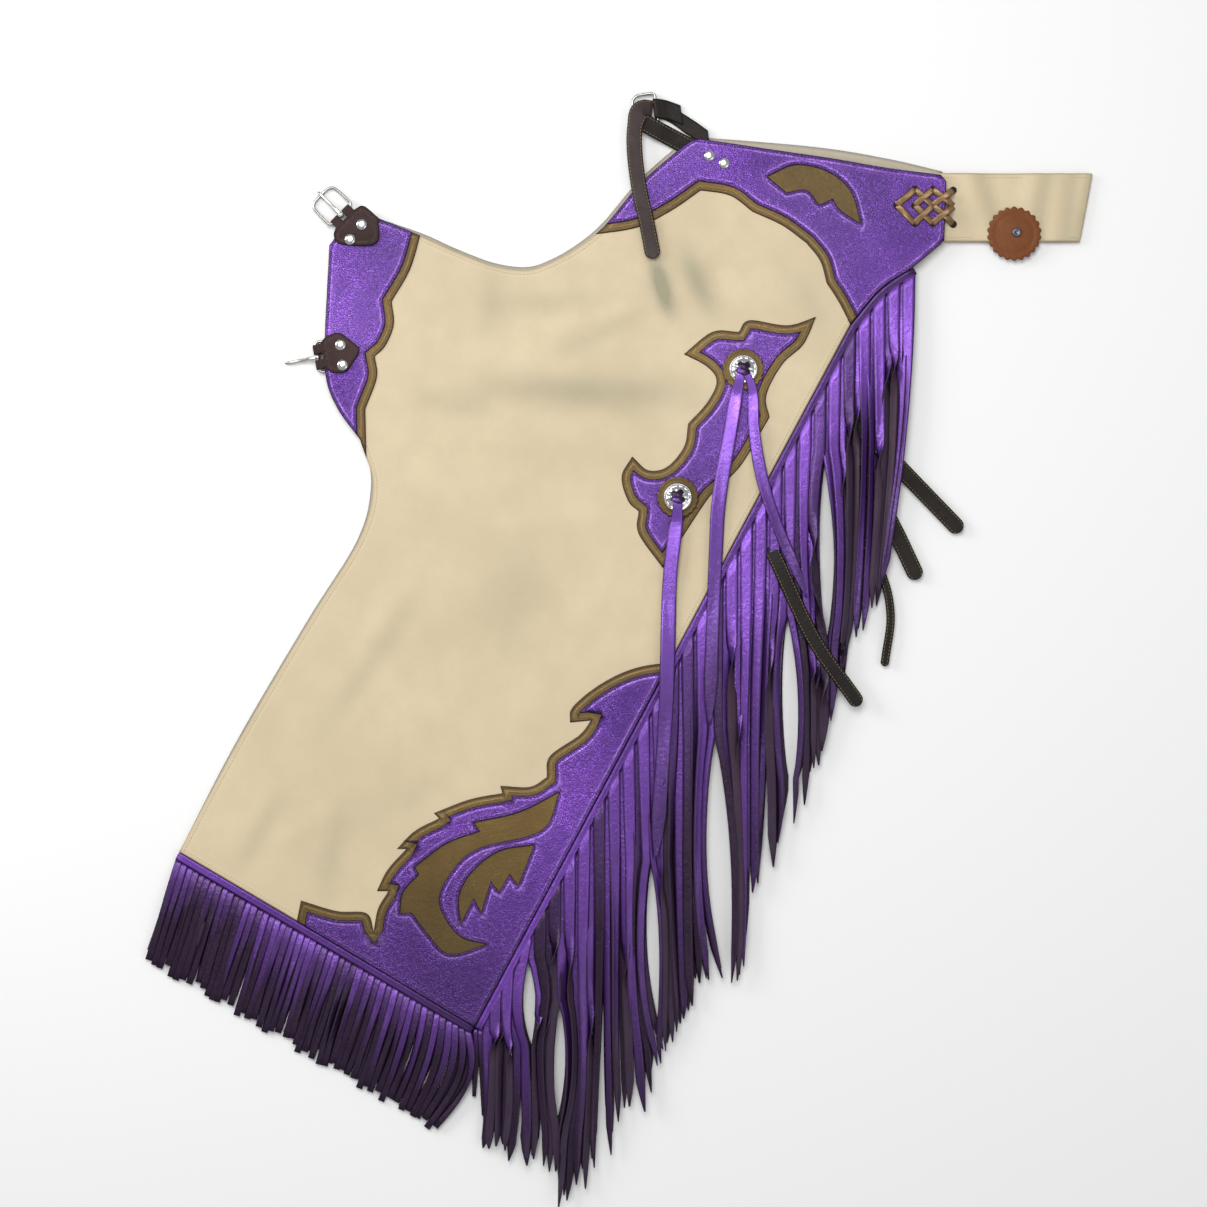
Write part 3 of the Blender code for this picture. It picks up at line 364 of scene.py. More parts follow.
wrinkle = add('ShaderNodeTexNoise', {"Vector": bent.outputs[0], "Scale": 240.0, "Detail": 4.0, "Roughness": 0.6})
wrinkle_high = add('ShaderNodeMapRange', {"Value": wrinkle.outputs[0], "From Min": 0.38, "From Max": 0.62})
mixed = add('ShaderNodeMix', {"Factor": given.outputs[1], 2: pebble_high.outputs[0], 3: wrinkle_high.outputs[0]})
blotch = add('ShaderNodeTexNoise', {"Vector": spot, "Scale": 34.0, "Detail": 3.0, "Roughness": 0.6})
blotch_high = add('ShaderNodeMapRange', {"Value": blotch.outputs[0], "From Min": 0.36, "From Max": 0.64})
broad = add('ShaderNodeTexNoise', {"Vector": spot, "Scale": 7.0, "Detail": 2.0})
broad_high = add('ShaderNodeMapRange', {"Value": broad.outputs[0], "From Min": 0.38, "From Max": 0.62})
cracks = add('ShaderNodeMapRange', {"Value": pebble_high.outputs[0], "From Min": 0.0, "From Max": 0.5,
                                    "To Min": 1.0, "To Max": 0.0})
for socket, value in (("Height", mixed.outputs[0]), ("Cracks", cracks.outputs[0]),
                      ("Blotch", blotch_high.outputs[0]), ("Broad", broad_high.outputs[0])):
    grain.links.new(value, result.inputs[socket])


def leather(name, colour, shade, edge, pebbles, wrinkle, depth, rough, gloss=0.0, metal=0.0, broad=0.5, sheen=0.0,
            light=None, shine=0.5):
    """Leather from its colour, the shade it takes in hollows, its burnished edge and a painted highlight line along its
    padded edge.
    """
    made = bpy.data.materials.new(name)
    made.use_nodes = True
    tree = made.node_tree
    add = node_maker(tree)
    shader = tree.nodes["Principled BSDF"]
    skin = add('ShaderNodeGroup', node_tree=grain)
    skin.inputs[0].default_value = pebbles
    skin.inputs[1].default_value = wrinkle
    tone = add('ShaderNodeMath', {0: skin.outputs["Broad"], 1: broad}, operation='MULTIPLY')
    tint = add('ShaderNodeMix', {"Factor": tone.outputs[0], 6: (*colour, 1), 7: (*shade, 1)}, data_type='RGBA')
    soft = add('ShaderNodeMath', {0: skin.outputs["Blotch"], 1: 0.35}, operation='MULTIPLY')
    mottled = add('ShaderNodeMix', {"Factor": soft.outputs[0], 6: tint.outputs[2], 7: (*shade, 1)}, data_type='RGBA')
    crack = add('ShaderNodeMath', {0: skin.outputs["Cracks"], 1: 0.45 * depth / 0.3}, operation='MULTIPLY')
    cracked = add('ShaderNodeMix', {"Factor": crack.outputs[0], 6: mottled.outputs[2], 7: (*shade, 1)},
                  data_type='RGBA')
    rim = add('ShaderNodeAttribute', attribute_name="rim")
    worn = add('ShaderNodeMapRange', {"Value": rim.outputs["Fac"], "From Min": 0.35, "From Max": 0.9})
    # The light colour is a painted highlight along the padded edge, broken by the blotches.
    rubbed = add('ShaderNodeAttribute', attribute_name="rubbed")
    broken = add('ShaderNodeMapRange', {"Value": skin.outputs["Blotch"], "To Min": 0.35, "To Max": 0.95})
    line_share = add('ShaderNodeMath', {0: rubbed.outputs["Fac"], 1: broken.outputs[0]}, operation='MULTIPLY')
    lined = add('ShaderNodeMix', {"Factor": line_share.outputs[0], 6: cracked.outputs[2],
                                  7: (*(light or colour), 1)}, data_type='RGBA')
    finished = add('ShaderNodeMix', {"Factor": worn.outputs[0], 6: lined.outputs[2], 7: (*edge, 1)},
                   data_type='RGBA')
    tree.links.new(finished.outputs[2], shader.inputs["Base Color"])
    gloss_range = add('ShaderNodeMapRange', {"Value": skin.outputs["Blotch"], "To Min": rough - 0.07,
                                             "To Max": rough + 0.08})
    tree.links.new(gloss_range.outputs[0], shader.inputs["Roughness"])
    bump = add('ShaderNodeBump', {"Height": skin.outputs["Height"], "Distance": depth / 1000, "Strength": 1.0})
    tree.links.new(bump.outputs[0], shader.inputs["Normal"])
    shader.inputs["Metallic"].default_value = metal
    shader.inputs["Coat Weight"].default_value = gloss
    shader.inputs["Coat Roughness"].default_value = 0.35
    shader.inputs["Sheen Weight"].default_value = sheen
    shader.inputs["Specular IOR Level"].default_value = shine
    return made


cream = leather("cream_chap_leather", (0.68, 0.56, 0.365), (0.57, 0.475, 0.315), (0.42, 0.33, 0.21),
                900, 0.5, 0.10, 0.52, broad=0.5, shine=0.35)


def darken_by_stain_and_shade(made, colour):
    """The leather takes this colour where the piece's noted value is high: stains and painted shade."""
    tree = made.node_tree
    add = node_maker(tree)
    shader = tree.nodes["Principled BSDF"]
    smudge = add('ShaderNodeAttribute', attribute_name="smudge")
    darkened = add('ShaderNodeMix', {"Factor": smudge.outputs["Fac"], 7: (*colour, 1),
                                    6: shader.inputs["Base Color"].links[0].from_socket}, data_type='RGBA')
    tree.links.new(darkened.outputs[2], shader.inputs["Base Color"])


# The cream darkens to this grey for its stains, and for shade painted in its folds and beside the band's swells.
darken_by_stain_and_shade(cream, (0.33, 0.30, 0.20))
flesh = leather("grey_flesh_side", (0.52, 0.47, 0.36), (0.36, 0.32, 0.25), (0.25, 0.22, 0.18),
                500, 0.8, 0.25, 0.85, sheen=0.2)


def lay_sheet(made, body, slot, rests_on, *nodes, held="laid", cut=None):
    """Hangs a leather piece on its body and hides the CAD parts it replaces."""
    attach(made, body)
    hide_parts(*nodes)


upper_leg = sheet_of_leather("leg_face_up", [leg_line], lambda xy: inside(leg_line, xy), panel_z, PANEL_T, 6.0, cream,
                             rings=(0.8, 2.0, 3.4, 5.2, 8.0), roll=1.2, groove=0.35, groove_at=4.2)
places = np.array([v.co for v in upper_leg.data.vertices])[:, :2] * 1000 - SHIFT
# Painted shade along the folds and creases of the face-up leg, together with its worn stains.
note(upper_leg, "smudge", sum(0.55 * row[5] * ridge(places[:, 0], places[:, 1], row) for row in STAINS_AND_FOLD_SHADE))
lay_sheet(upper_leg, "chaps", "cream_leather", ["leg_face_down"], "upper_leg")
under_line = outline(UNDER_LEG, 5)
under_leg = sheet_of_leather("leg_face_down", [under_line], lambda xy: inside(under_line, xy),
                             lambda x, y: 0 * x + 0.05, PANEL_T, 14.0, flesh, rings=(1.0, 4.0))
lay_sheet(under_leg, "chaps", "flesh_leather", ["floor"], "under_leg")


# Overlays on the face-up leg
# A layer of gold leather is glued and sewn on first and shows as a narrow trim
# and through the cut-outs. Metallic purple leather lies on it, sewn just inside
# its edge, so that both layers look padded. The forms are plain western scrolls.

TRIM_T = 1.0
OVERLAY_T = 1.2
LAYER_GAP = 0.3
TRIM = 8.0
YOKE = [
    (-18, 394, 1), (26, 401, 0), (59, 417, 0), (87, 436, 1), (115, 431, 0),
    (136, 416, 1), (164, 403, 0), (187, 386, 1), (200, 369, 0), (206, 348, 1),
    (218, 329, 0), (231, 303, 1), (257, 285, 1), (362, 361, 1), (362, 504, 1),
    (77, 523, 1), (-18, 437, 1)]
THIGH = [
    (-176, 405, 1), (-188, 363, 0), (-206, 331, 1), (-204, 309, 0), (-212, 289, 0),
    (-222, 279, 1), (-220, 259, 0), (-231, 229, 1), (-230, 180, 1), (-300, 180, 1),
    (-300, 440, 1)]
MIDDLE = [
    (196, 316, 1), (169, 308, 0), (133, 313, 0), (123, 302, 1), (98, 302, 0),
    (71, 281, 1), (93, 269, 0), (102, 255, 0), (93, 235, 0), (75, 215, 1),
    (71, 193, 0), (55, 174, 0), (37, 171, 0), (22, 184, 1), (12, 165, 0),
    (18, 142, 0), (28, 132, 1), (28, 111, 0), (51, 78, 1), (79, 122, 0),
    (95, 146, 1), (123, 173, 0), (141, 202, 0), (152, 221, 1), (149, 242, 0),
    (164, 271, 0), (184, 290, 0)]
CORNER = [
    (86, -9, 1), (31, -15, 0), (-5, -30, 0), (-34, -53, 0), (-37, -68, 1),
    (-17, -66, 1), (-28, -80, 0), (-56, -100, 0), (-59, -120, 1), (-75, -129, 0),
    (-103, -128, 1), (-101, -135, 1), (-132, -141, 0), (-166, -154, 1), (-161, -159, 1),
    (-184, -171, 0), (-201, -188, 1), (-192, -188, 1), (-210, -208, 0), (-220, -228, 1),
    (-209, -228, 1), (-219, -245, 0), (-223, -266, 1), (-230, -249, 0), (-258, -247, 0),
    (-292, -237, 1), (-297, -261, 1), (-312, -304, 1), (-127, -420, 1), (-56, -361, 1),
    (125, -28, 1)]
FLAME = [
    (-47, -134, 1), (-85, -153, 0), (-128, -163, 1), (-122, -171, 1), (-154, -183, 0),
    (-184, -205, 1), (-180, -212, 1), (-195, -229, 0), (-198, -249, 1), (-187, -248, 1),
    (-171, -269, 0), (-151, -287, 0), (-116, -278, 1), (-143, -269, 0), (-161, -238, 0),
    (-149, -209, 0), (-123, -187, 0), (-64, -170, 0)]
FROND = [
    (-71, -184, 1), (-104, -190, 0), (-130, -210, 0), (-142, -233, 0), (-140, -258, 1),
    (-128, -234, 1), (-121, -248, 1), (-112, -218, 1), (-104, -228, 1), (-94, -211, 1),
    (-86, -222, 1)]
LEAF = [
    (150, 449, 1), (177, 460, 0), (208, 453, 0), (229, 434, 0), (238, 404, 1),
    (219, 417, 0), (212, 428, 1), (199, 422, 1), (187, 436, 0), (168, 434, 1)]


def inset(loop, distance):
    """The same outline moved in, with mitred corners."""
    before, after = loop - np.roll(loop, 1, axis=0), np.roll(loop, -1, axis=0) - loop
    before /= np.linalg.norm(before, axis=1)[:, None]
    after /= np.linalg.norm(after, axis=1)[:, None]
    normal = np.stack((-before[:, 1] - after[:, 1], before[:, 0] + after[:, 0]), axis=1)
    normal /= np.maximum(np.linalg.norm(normal, axis=1), 1e-6)[:, None]
    turn = before[:, 0] * after[:, 1] - before[:, 1] * after[:, 0]
    reach = 1 / np.maximum(0.2, -normal[:, 0] * before[:, 1] + normal[:, 1] * before[:, 0])
    reach = np.minimum(reach, np.where(turn > 0, 4.0, 1.4))
    return loop + normal * (distance * reach)[:, None]


# The light colours of the gold and purple are painted highlights along their padded edges.
gold = leather("gold_leather", (0.215, 0.135, 0.038), (0.095, 0.055, 0.014), (0.030, 0.014, 0.008),
               800, 0.55, 0.22, 0.40, gloss=0.1, metal=0.4, broad=0.8, light=(0.34, 0.22, 0.085), shine=0.3)
purple = leather("purple_leather", (0.22, 0.075, 0.50), (0.075, 0.022, 0.19), (0.022, 0.006, 0.045),
                 520, 0.62, 0.55, 0.28, gloss=0.2, metal=0.75, broad=0.75, light=(0.46, 0.22, 0.80))

# Gold and purple darken to these colours towards the hem.
darken_by_stain_and_shade(gold, (0.045, 0.028, 0.010))
darken_by_stain_and_shade(purple, (0.030, 0.012, 0.060))
trim_lines, purple_lines, cut_lines = {}, {}, {"yoke": [LEAF], "corner": [FLAME, FROND]}
for key, rows in (("yoke", YOKE), ("thigh", THIGH), ("mid", MIDDLE), ("corner", CORNER)):
    trim_lines[key] = outline(rows, 3.0)
    purple_lines[key] = inset(trim_lines[key], TRIM)
    cut_lines[key] = [outline(cut, 3.0) for cut in cut_lines.get(key, [])]


def gold_z(x, y):
    return panel_z(x, y) + PANEL_T + LAYER_GAP


def purple_z(x, y):
    return gold_z(x, y) + TRIM_T + LAYER_GAP


def kept_areas(gold_line, purple_line, cuts):
    """What is kept of the plan for the gold layer and for the purple one."""
    def in_gold(xy):
        return inside(leg_line, xy) & inside(gold_line, xy)

    def in_purple(xy):
        kept = in_gold(xy) & inside(purple_line, xy)
        for cut in cuts:
            kept &= ~inside(cut, xy)
        return kept

    return in_gold, in_purple


overlay_parts = {}
for key, node in (("yoke", "yoke"), ("thigh", "thigh_overlay"), ("mid", "mid_overlay"),
                  ("corner", "corner_overlay")):
    gold_line, purple_line, cuts = trim_lines[key], purple_lines[key], cut_lines[key]
    in_gold, in_purple = kept_areas(gold_line, purple_line, cuts)
    overlay_parts[key] = ([gold_line, leg_line, purple_line, leg_line] + cuts, in_gold, in_purple)

    for title, loops, kept, under, thick, hide, slot, cad in (
            ("trim", [gold_line, leg_line], in_gold, gold_z, TRIM_T, gold, "gold_leather", key + "_trim"),
            ("overlay", [purple_line, leg_line] + cuts, in_purple, purple_z, OVERLAY_T, purple,
             "purple_leather", node)):
        made = sheet_of_leather("%s_%s_sheet" % (key, title), loops, kept, under, thick, 4.5, hide,
                                rings=(0.7, 1.6, 2.4, 3.2, 4.0, 5.2), roll=0.75, groove=0.55)
        heights = np.array([v.co for v in made.data.vertices])[:, 1] * 1000 - SHIFT[1]
        # The overlays are darker towards the hem.
        note(made, "smudge", 0.62 * smooth((-120 - heights) / 230))
        lay_sheet(made, "chaps", slot, ["leg_face_up"], cad)


# Sewing on the leg and its overlays
# Lockstitch in waxed thread, three stitches to the centimetre: cream round the
# leg's turned edge, bronze along the gold trim and dark purple on the overlays.

STITCH_PITCH = 3.3
row_tree = bpy.data.node_groups.new("row_of_pieces", 'GeometryNodeTree')
group_sockets(row_tree, [("Line", 'NodeSocketGeometry', None), ("Pitch", 'NodeSocketFloat', 0.0033),
                         ("Size", 'NodeSocketVector', (0.0025, 0.0007, 0.0005)),
                         ("Finish", 'NodeSocketMaterial', None)], [("Pieces", 'NodeSocketGeometry')])
add = node_maker(row_tree)
given = add('NodeGroupInput')
line = add('GeometryNodeMeshToCurve', {"Mesh": given.outputs["Line"]})
even = add('GeometryNodeResampleCurve', {"Curve": line.outputs[0], "Length": given.outputs["Pitch"]}, mode='LENGTH')
way = add('GeometryNodeInputTangent')
turn = add('FunctionNodeAlignRotationToVector', {"Vector": way.outputs[0]}, axis='X', pivot_axis='Z')
bead = add('GeometryNodeMeshUVSphere', {"Segments": 6, "Rings": 4, "Radius": 0.5})
placed = add('GeometryNodeInstanceOnPoints', {"Points": even.outputs[0], "Instance": bead.outputs[0],
                                              "Rotation": turn.outputs[0], "Scale": given.outputs["Size"]})
real = add('GeometryNodeRealizeInstances', {0: placed.outputs[0]})
shaded = add('GeometryNodeSetShadeSmooth', {0: real.outputs[0]})
finished = add('GeometryNodeSetMaterial', {0: shaded.outputs[0], "Material": given.outputs["Finish"]})
row_tree.links.new(finished.outputs[0], add('NodeGroupOutput').inputs[0])


def row_of_pieces(name, lines, pitch, size, finish, closed=False):
    """Small equal pieces along lines of points, made by the node tree."""
    points, edges = [], []
    for line in lines:
        first = len(points)
        points += [tuple(p) for p in line]
        edges += [(first + i, first + i + 1) for i in range(len(line) - 1)]
        if closed:
            edges.append((len(points) - 1, first))
    mesh = bpy.data.meshes.new(name + "_line")
    mesh.from_pydata(in_frame(points).tolist(), edges, [])
    guide = bpy.data.objects.new(name + "_line", mesh)
    bpy.context.scene.collection.objects.link(guide)
    spread = guide.modifiers.new("Row", 'NODES')
    spread.node_group = row_tree
    values = {"Pitch": pitch / 1000, "Size": [s / 1000 for s in size], "Finish": finish}
    for item in row_tree.interface.items_tree:
        if item.in_out == 'INPUT' and item.name in values:
            spread[item.identifier] = values[item.name]
    depsgraph = bpy.context.evaluated_depsgraph_get()
    made = bpy.data.objects.new(name, bpy.data.meshes.new_from_object(guide.evaluated_get(depsgraph)))
    bpy.data.objects.remove(guide)
    bpy.context.scene.collection.objects.link(made)
    return made


def plain(name, colour, rough, metal=0.0, uneven=0.12):
    """A small hard or thread finish: one colour with a fine uneven gloss."""
    made = bpy.data.materials.new(name)
    made.use_nodes = True
    add = node_maker(made.node_tree)
    shader = made.node_tree.nodes["Principled BSDF"]
    spot = add('ShaderNodeTexCoord').outputs["Object"]
    speck = add('ShaderNodeTexNoise', {"Vector": spot, "Scale": 900.0, "Detail": 2.0})
    dull = add('ShaderNodeMapRange', {"Value": speck.outputs[0], "From Min": 0.35, "From Max": 0.65,
                                      "To Min": rough - uneven / 2, "To Max": rough + uneven})
    made.node_tree.links.new(dull.outputs[0], shader.inputs["Roughness"])
    tint = add('ShaderNodeMix', {"Factor": speck.outputs[0], 6: (*colour, 1),
                                 7: (*(0.72 * c for c in colour), 1)}, data_type='RGBA')
    made.node_tree.links.new(tint.outputs[2], shader.inputs["Base Color"])
    shader.inputs["Metallic"].default_value = metal
    return made


def sewn_lines(loops, keep, away, step=3.0):
    """Runs of points a set distance inside the edge of what is kept."""
    runs = []
    for loop in loops:
        ahead = np.roll(loop, -1, axis=0) - np.roll(loop, 1, axis=0)
        ahead /= np.maximum(np.linalg.norm(ahead, axis=1), 1e-9)[:, None]
        across = np.stack((-ahead[:, 1], ahead[:, 0]), axis=1)
        for side in (1, -1):
            spots = loop + across * away * side
            good = keep(spots) & (gap_to(loops, spots) > away * 0.86)
            run = []
            for spot, fine in zip(np.vstack((spots, spots[:1])), np.append(good, good[0])):
                near = not run or np.linalg.norm(spot - run[-1]) < 3 * step
                if fine and near:
                    run.append(spot)
                else:
                    if len(run) > 3:
                        runs.append(np.array(run))
                    run = [spot] if fine else []
            if len(run) > 3:
                runs.append(np.array(run))
    return runs


def on_top(runs, under, rise):
    return [np.column_stack((run, under(run[:, 0], run[:, 1]) + rise)) for run in runs]


cream_thread = plain("cream_thread", (0.58, 0.50, 0.36), 0.7)
bronze_thread = plain("bronze_thread", (0.22, 0.13, 0.05), 0.6)
violet_thread = plain("violet_thread", (0.06, 0.02, 0.14), 0.55)
STITCH = (2.5, 0.75, 0.6)
bare_lines = sewn_lines([leg_line], lambda xy: inside(leg_line, xy) & ~np.any(
    [inside(loop, xy) for loop in trim_lines.values()], axis=0), 4.2, 4.0)
gold_rows, purple_rows = [], []
for key, (loops, kept_gold, kept_purple) in overlay_parts.items():
    gold_rows += on_top(sewn_lines(loops[:2], kept_gold, 3.4), gold_z, TRIM_T - 0.1)
    purple_rows += on_top(sewn_lines(loops[2:], kept_purple, 2.6), purple_z, OVERLAY_T - 0.15)
for name, rows, thread in (
        ("leg_edge_sewing", on_top(bare_lines, panel_z, PANEL_T - 0.1), cream_thread),
        ("trim_sewing", gold_rows, bronze_thread), ("overlay_sewing", purple_rows, violet_thread)):
    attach(row_of_pieces(name, rows, STITCH_PITCH, STITCH, thread), "chaps")


# Fringe
# Strips of thin metallic purple leather, cut side by side from one wide strip
# and sewn in the outer seam and the hem with a narrow welt. The outside is
# purple, the flesh side dark maroon, and each strip turns a little as it falls.

WELT_W = 7.0
SEAM_GAP = 0.3
STRAND_T = 1.1
SIDE_MIDDLE = PANEL_HIGH + PANEL_T / 2
SIDE_LAYER = 1.0
SIDE_HALF = 1.9
HEM_FALL = np.array((-0.30, -0.954))
CORNER_BULGE = 16.0
CORNER_STRIPS = 4.5
# Where the side fringe has parted: x, its upper and lower y, half width
PARTINGS = [(205, 190, 6, 4.0), (103, -84, -330, 7.5), (41, -200, -372, 3.5),
            (-77, -290, -372, 3.5), (-46, -330, -452, 3.5), (172, 30, -120, 3.0)]
# Tip line of the side fringe: x, y
TIPS = np.array([
    (-124, -465), (-93, -481), (-59, -493), (-39, -525), (-14, -513), (10, -454),
    (39, -401), (72, -362), (88, -323), (128, -302), (136, -225), (152, -222),
    (176, -146), (199, -94), (221, -56), (238, 2), (262, 48), (288, 105), (300, 130)], float)


def open_path(points, step):
    """A smooth open path through the points, evenly stepped."""
    rows = [np.array(p, float) for p in points]
    path = []
    for i in range(len(rows) - 1):
        here, there = rows[i], rows[i + 1]
        leave = (there - rows[i - 1]) / 2 if i else there - here
        arrive = (rows[i + 2] - here) / 2 if i + 2 < len(rows) else there - here
        steps = max(1, round(np.linalg.norm(there - here) / step))
        for k in range(steps):
            t = k / steps
            path.append(here * (2 * t ** 3 - 3 * t ** 2 + 1) + leave * (t ** 3 - 2 * t ** 2 + t)
                        + there * (3 * t ** 2 - 2 * t ** 3) + arrive * (t ** 3 - t ** 2))
    path.append(rows[-1])
    return np.array(path)


class Seam:
    """A seam line that gives the point at any length, moved outwards."""

    def __init__(self, points):
        self.points = points
        self.lengths = np.concatenate(([0], np.cumsum(np.linalg.norm(np.diff(points, axis=0), axis=1))))
        self.total = self.lengths[-1]

    def at(self, s, away=0.0):
        spot = np.array([np.interp(s, self.lengths, self.points[:, i]) for i in (0, 1)])
        ends = [np.array([np.interp(s + d, self.lengths, self.points[:, i]) for i in (0, 1)]) for d in (-6, 6)]
        ahead = (ends[1] - ends[0]) / np.linalg.norm(ends[1] - ends[0])
        return spot + np.array((ahead[1], -ahead[0])) * away

    def at_x(self, x, away):
        low, high = 0.0, self.total
        for _ in range(30):
            middle = (low + high) / 2
            low, high = (middle, high) if self.at(middle, away)[0] < x else (low, middle)
        return (low + high) / 2


class Strips:
    """Strips of leather gathered into one mesh, with their two sides told apart."""

    def __init__(self):
        self.points, self.faces, self.kinds, self.notes = [], [], [], []

    def add(self, centres, widths, thick, twists=None, across=4, cup=0.0, side=None, blunt=0.0, shade=0.0):
        """One strip: twists are radians about its own line, cup lifts its edges."""
        centres = np.asarray(centres, float)
        count = len(centres)
        ahead = np.gradient(centres, axis=0)
        ahead /= np.maximum(np.linalg.norm(ahead, axis=1), 1e-9)[:, None]
        flat = np.cross((0, 0, 1), ahead) if side is None else np.array(np.broadcast_to(side, (count, 3)), float)
        flat /= np.maximum(np.linalg.norm(flat, axis=1), 1e-9)[:, None]
        up = np.cross(ahead, flat)
        up /= np.maximum(np.linalg.norm(up, axis=1), 1e-9)[:, None]
        turn = np.zeros(count) if twists is None else np.asarray(twists)
        beside = flat * np.cos(turn)[:, None] + up * np.sin(turn)[:, None]
        above = up * np.cos(turn)[:, None] - flat * np.sin(turn)[:, None]
        widths, cups = np.broadcast_to(widths, count), np.broadcast_to(cup, count)
        first = len(self.points)
        columns = across + 1
        for sheet in (1, -1):
            for i in range(count):
                for k in range(columns):
                    v = 2 * k / across - 1
                    thin = 1 - blunt * (1 - math.sqrt(max(0.0, 1 - v ** 8)))
                    rise = sheet * thick / 2 * thin + cups[i] * (v * v - 0.4)
                    self.points.append(centres[i] + beside[i] * widths[i] / 2 * v + above[i] * rise)
                    self.notes.append((i / (count - 1), abs(v), shade))

        def corner(sheet, i, k):
            return first + sheet * count * columns + i * columns + k

        def put(kind, *face):
            self.faces.append(face)
            self.kinds.append(kind)

        for i in range(count - 1):
            for k in range(across):
                put(0, corner(0, i, k + 1), corner(0, i + 1, k + 1), corner(0, i + 1, k), corner(0, i, k))
                put(1, corner(1, i, k), corner(1, i + 1, k), corner(1, i + 1, k + 1), corner(1, i, k + 1))
            for k, order in ((0, 1), (across, -1)):
                wall = (corner(0, i, k), corner(0, i + 1, k), corner(1, i + 1, k), corner(1, i, k))
                put(1, *wall[::order])
        for k in range(across):
            put(1, corner(0, 0, k), corner(1, 0, k), corner(1, 0, k + 1), corner(0, 0, k + 1))
            put(1, corner(0, count - 1, k + 1), corner(1, count - 1, k + 1), corner(1, count - 1, k),
                corner(0, count - 1, k))

    def made(self, name, outside, flesh_side):
        strips = piece(name, self.points, self.faces, outside, flesh_side, kinds=self.kinds)
        notes = np.array(self.notes)
        note(strips, "fall", notes[:, 0])
        note(strips, "rim", np.where(notes[:, 1] > 0.95, 0.9, 0.0))
        note(strips, "shade", notes[:, 2])
        return strips


def welt(strips, seam, height, half, piping):
    """The narrow strip that holds the roots, with the piped edge beside the leg."""
    steps = np.linspace(0.5, seam.total - 0.5, round(seam.total / 8))
    base = [(*seam.at(s), 0) for s in steps]
    flat = [(*seam.at(s, SEAM_GAP + WELT_W / 2), height(*seam.at(s)) + half * 0.35) for s in steps]
    strips.add(flat, WELT_W, half * 1.1, across=4, blunt=0.5)
    round_edge = [(*seam.at(s, SEAM_GAP + piping), height(*seam.at(s)) + half * 0.55) for s in steps]
    strips.add(round_edge, piping * 2, piping * 1.9, across=8, blunt=0.95)
    return base


def fringe_leather(name, colour, deep, pebbles, metal, rough):
    """Fringe leather: it darkens towards the tips, and strip by strip."""
    made = leather(name, colour, deep, tuple(0.35 * c for c in deep), pebbles, 0.75, 0.18, rough, gloss=0.2,
                   metal=metal, broad=0.35)
    tree = made.node_tree
    add = node_maker(tree)
    shader = tree.nodes["Principled BSDF"]
    source = shader.inputs["Base Color"].links[0].from_socket
    fall = add('ShaderNodeAttribute', attribute_name="fall")
    shade = add('ShaderNodeAttribute', attribute_name="shade")
    low = add('ShaderNodeMapRange', {"Value": fall.outputs["Fac"], "From Min": 0.1, "From Max": 0.9,
                                     "To Min": 0.0, "To Max": 0.74})
    dark = add('ShaderNodeMath', {0: low.outputs[0], 1: shade.outputs["Fac"]}, operation='ADD', use_clamp=True)
    tint = add('ShaderNodeMix', {"Factor": dark.outputs[0], 6: source, 7: (0.026, 0.009, 0.034, 1)},
               data_type='RGBA')
    tree.links.new(tint.outputs[2], shader.inputs["Base Color"])
    return made


fringe_purple = fringe_leather("fringe_purple", (0.25, 0.085, 0.56), (0.09, 0.026, 0.22), 560, 0.6, 0.31)
fringe_flesh = fringe_leather("fringe_flesh_side", (0.060, 0.022, 0.042), (0.028, 0.010, 0.020), 420, 0.0, 0.8)
# The face-down leg's fringe is the same leather as the face-up one's; this darker, duller copy is painted shade for the
# layer that lies beneath.
under_purple_painted_shade = fringe_leather("under_fringe_purple_painted_shade", (0.085, 0.028, 0.19), (0.04, 0.012, 0.09), 620, 0.45, 0.42)

side_seam = Seam(np.vstack((open_path([(-127, -356), (229, 309)], 20),
                            open_path([(229, 309), (257, 342), (288, 363)], 9)[1:])))
hem_seam = Seam(open_path([(-408, -191), (-127, -356)], 20))


# The leg strap that lies on the fringe holds the strips under it flat
ON_TOP = open_path([(146, 112), (161, 80), (193, 12), (233, -46)], 8)


def gap_to_run(run, x, y):
    return np.min(np.hypot(x[:, None] - run[:, 0], y[:, None] - run[:, 1]), axis=1)


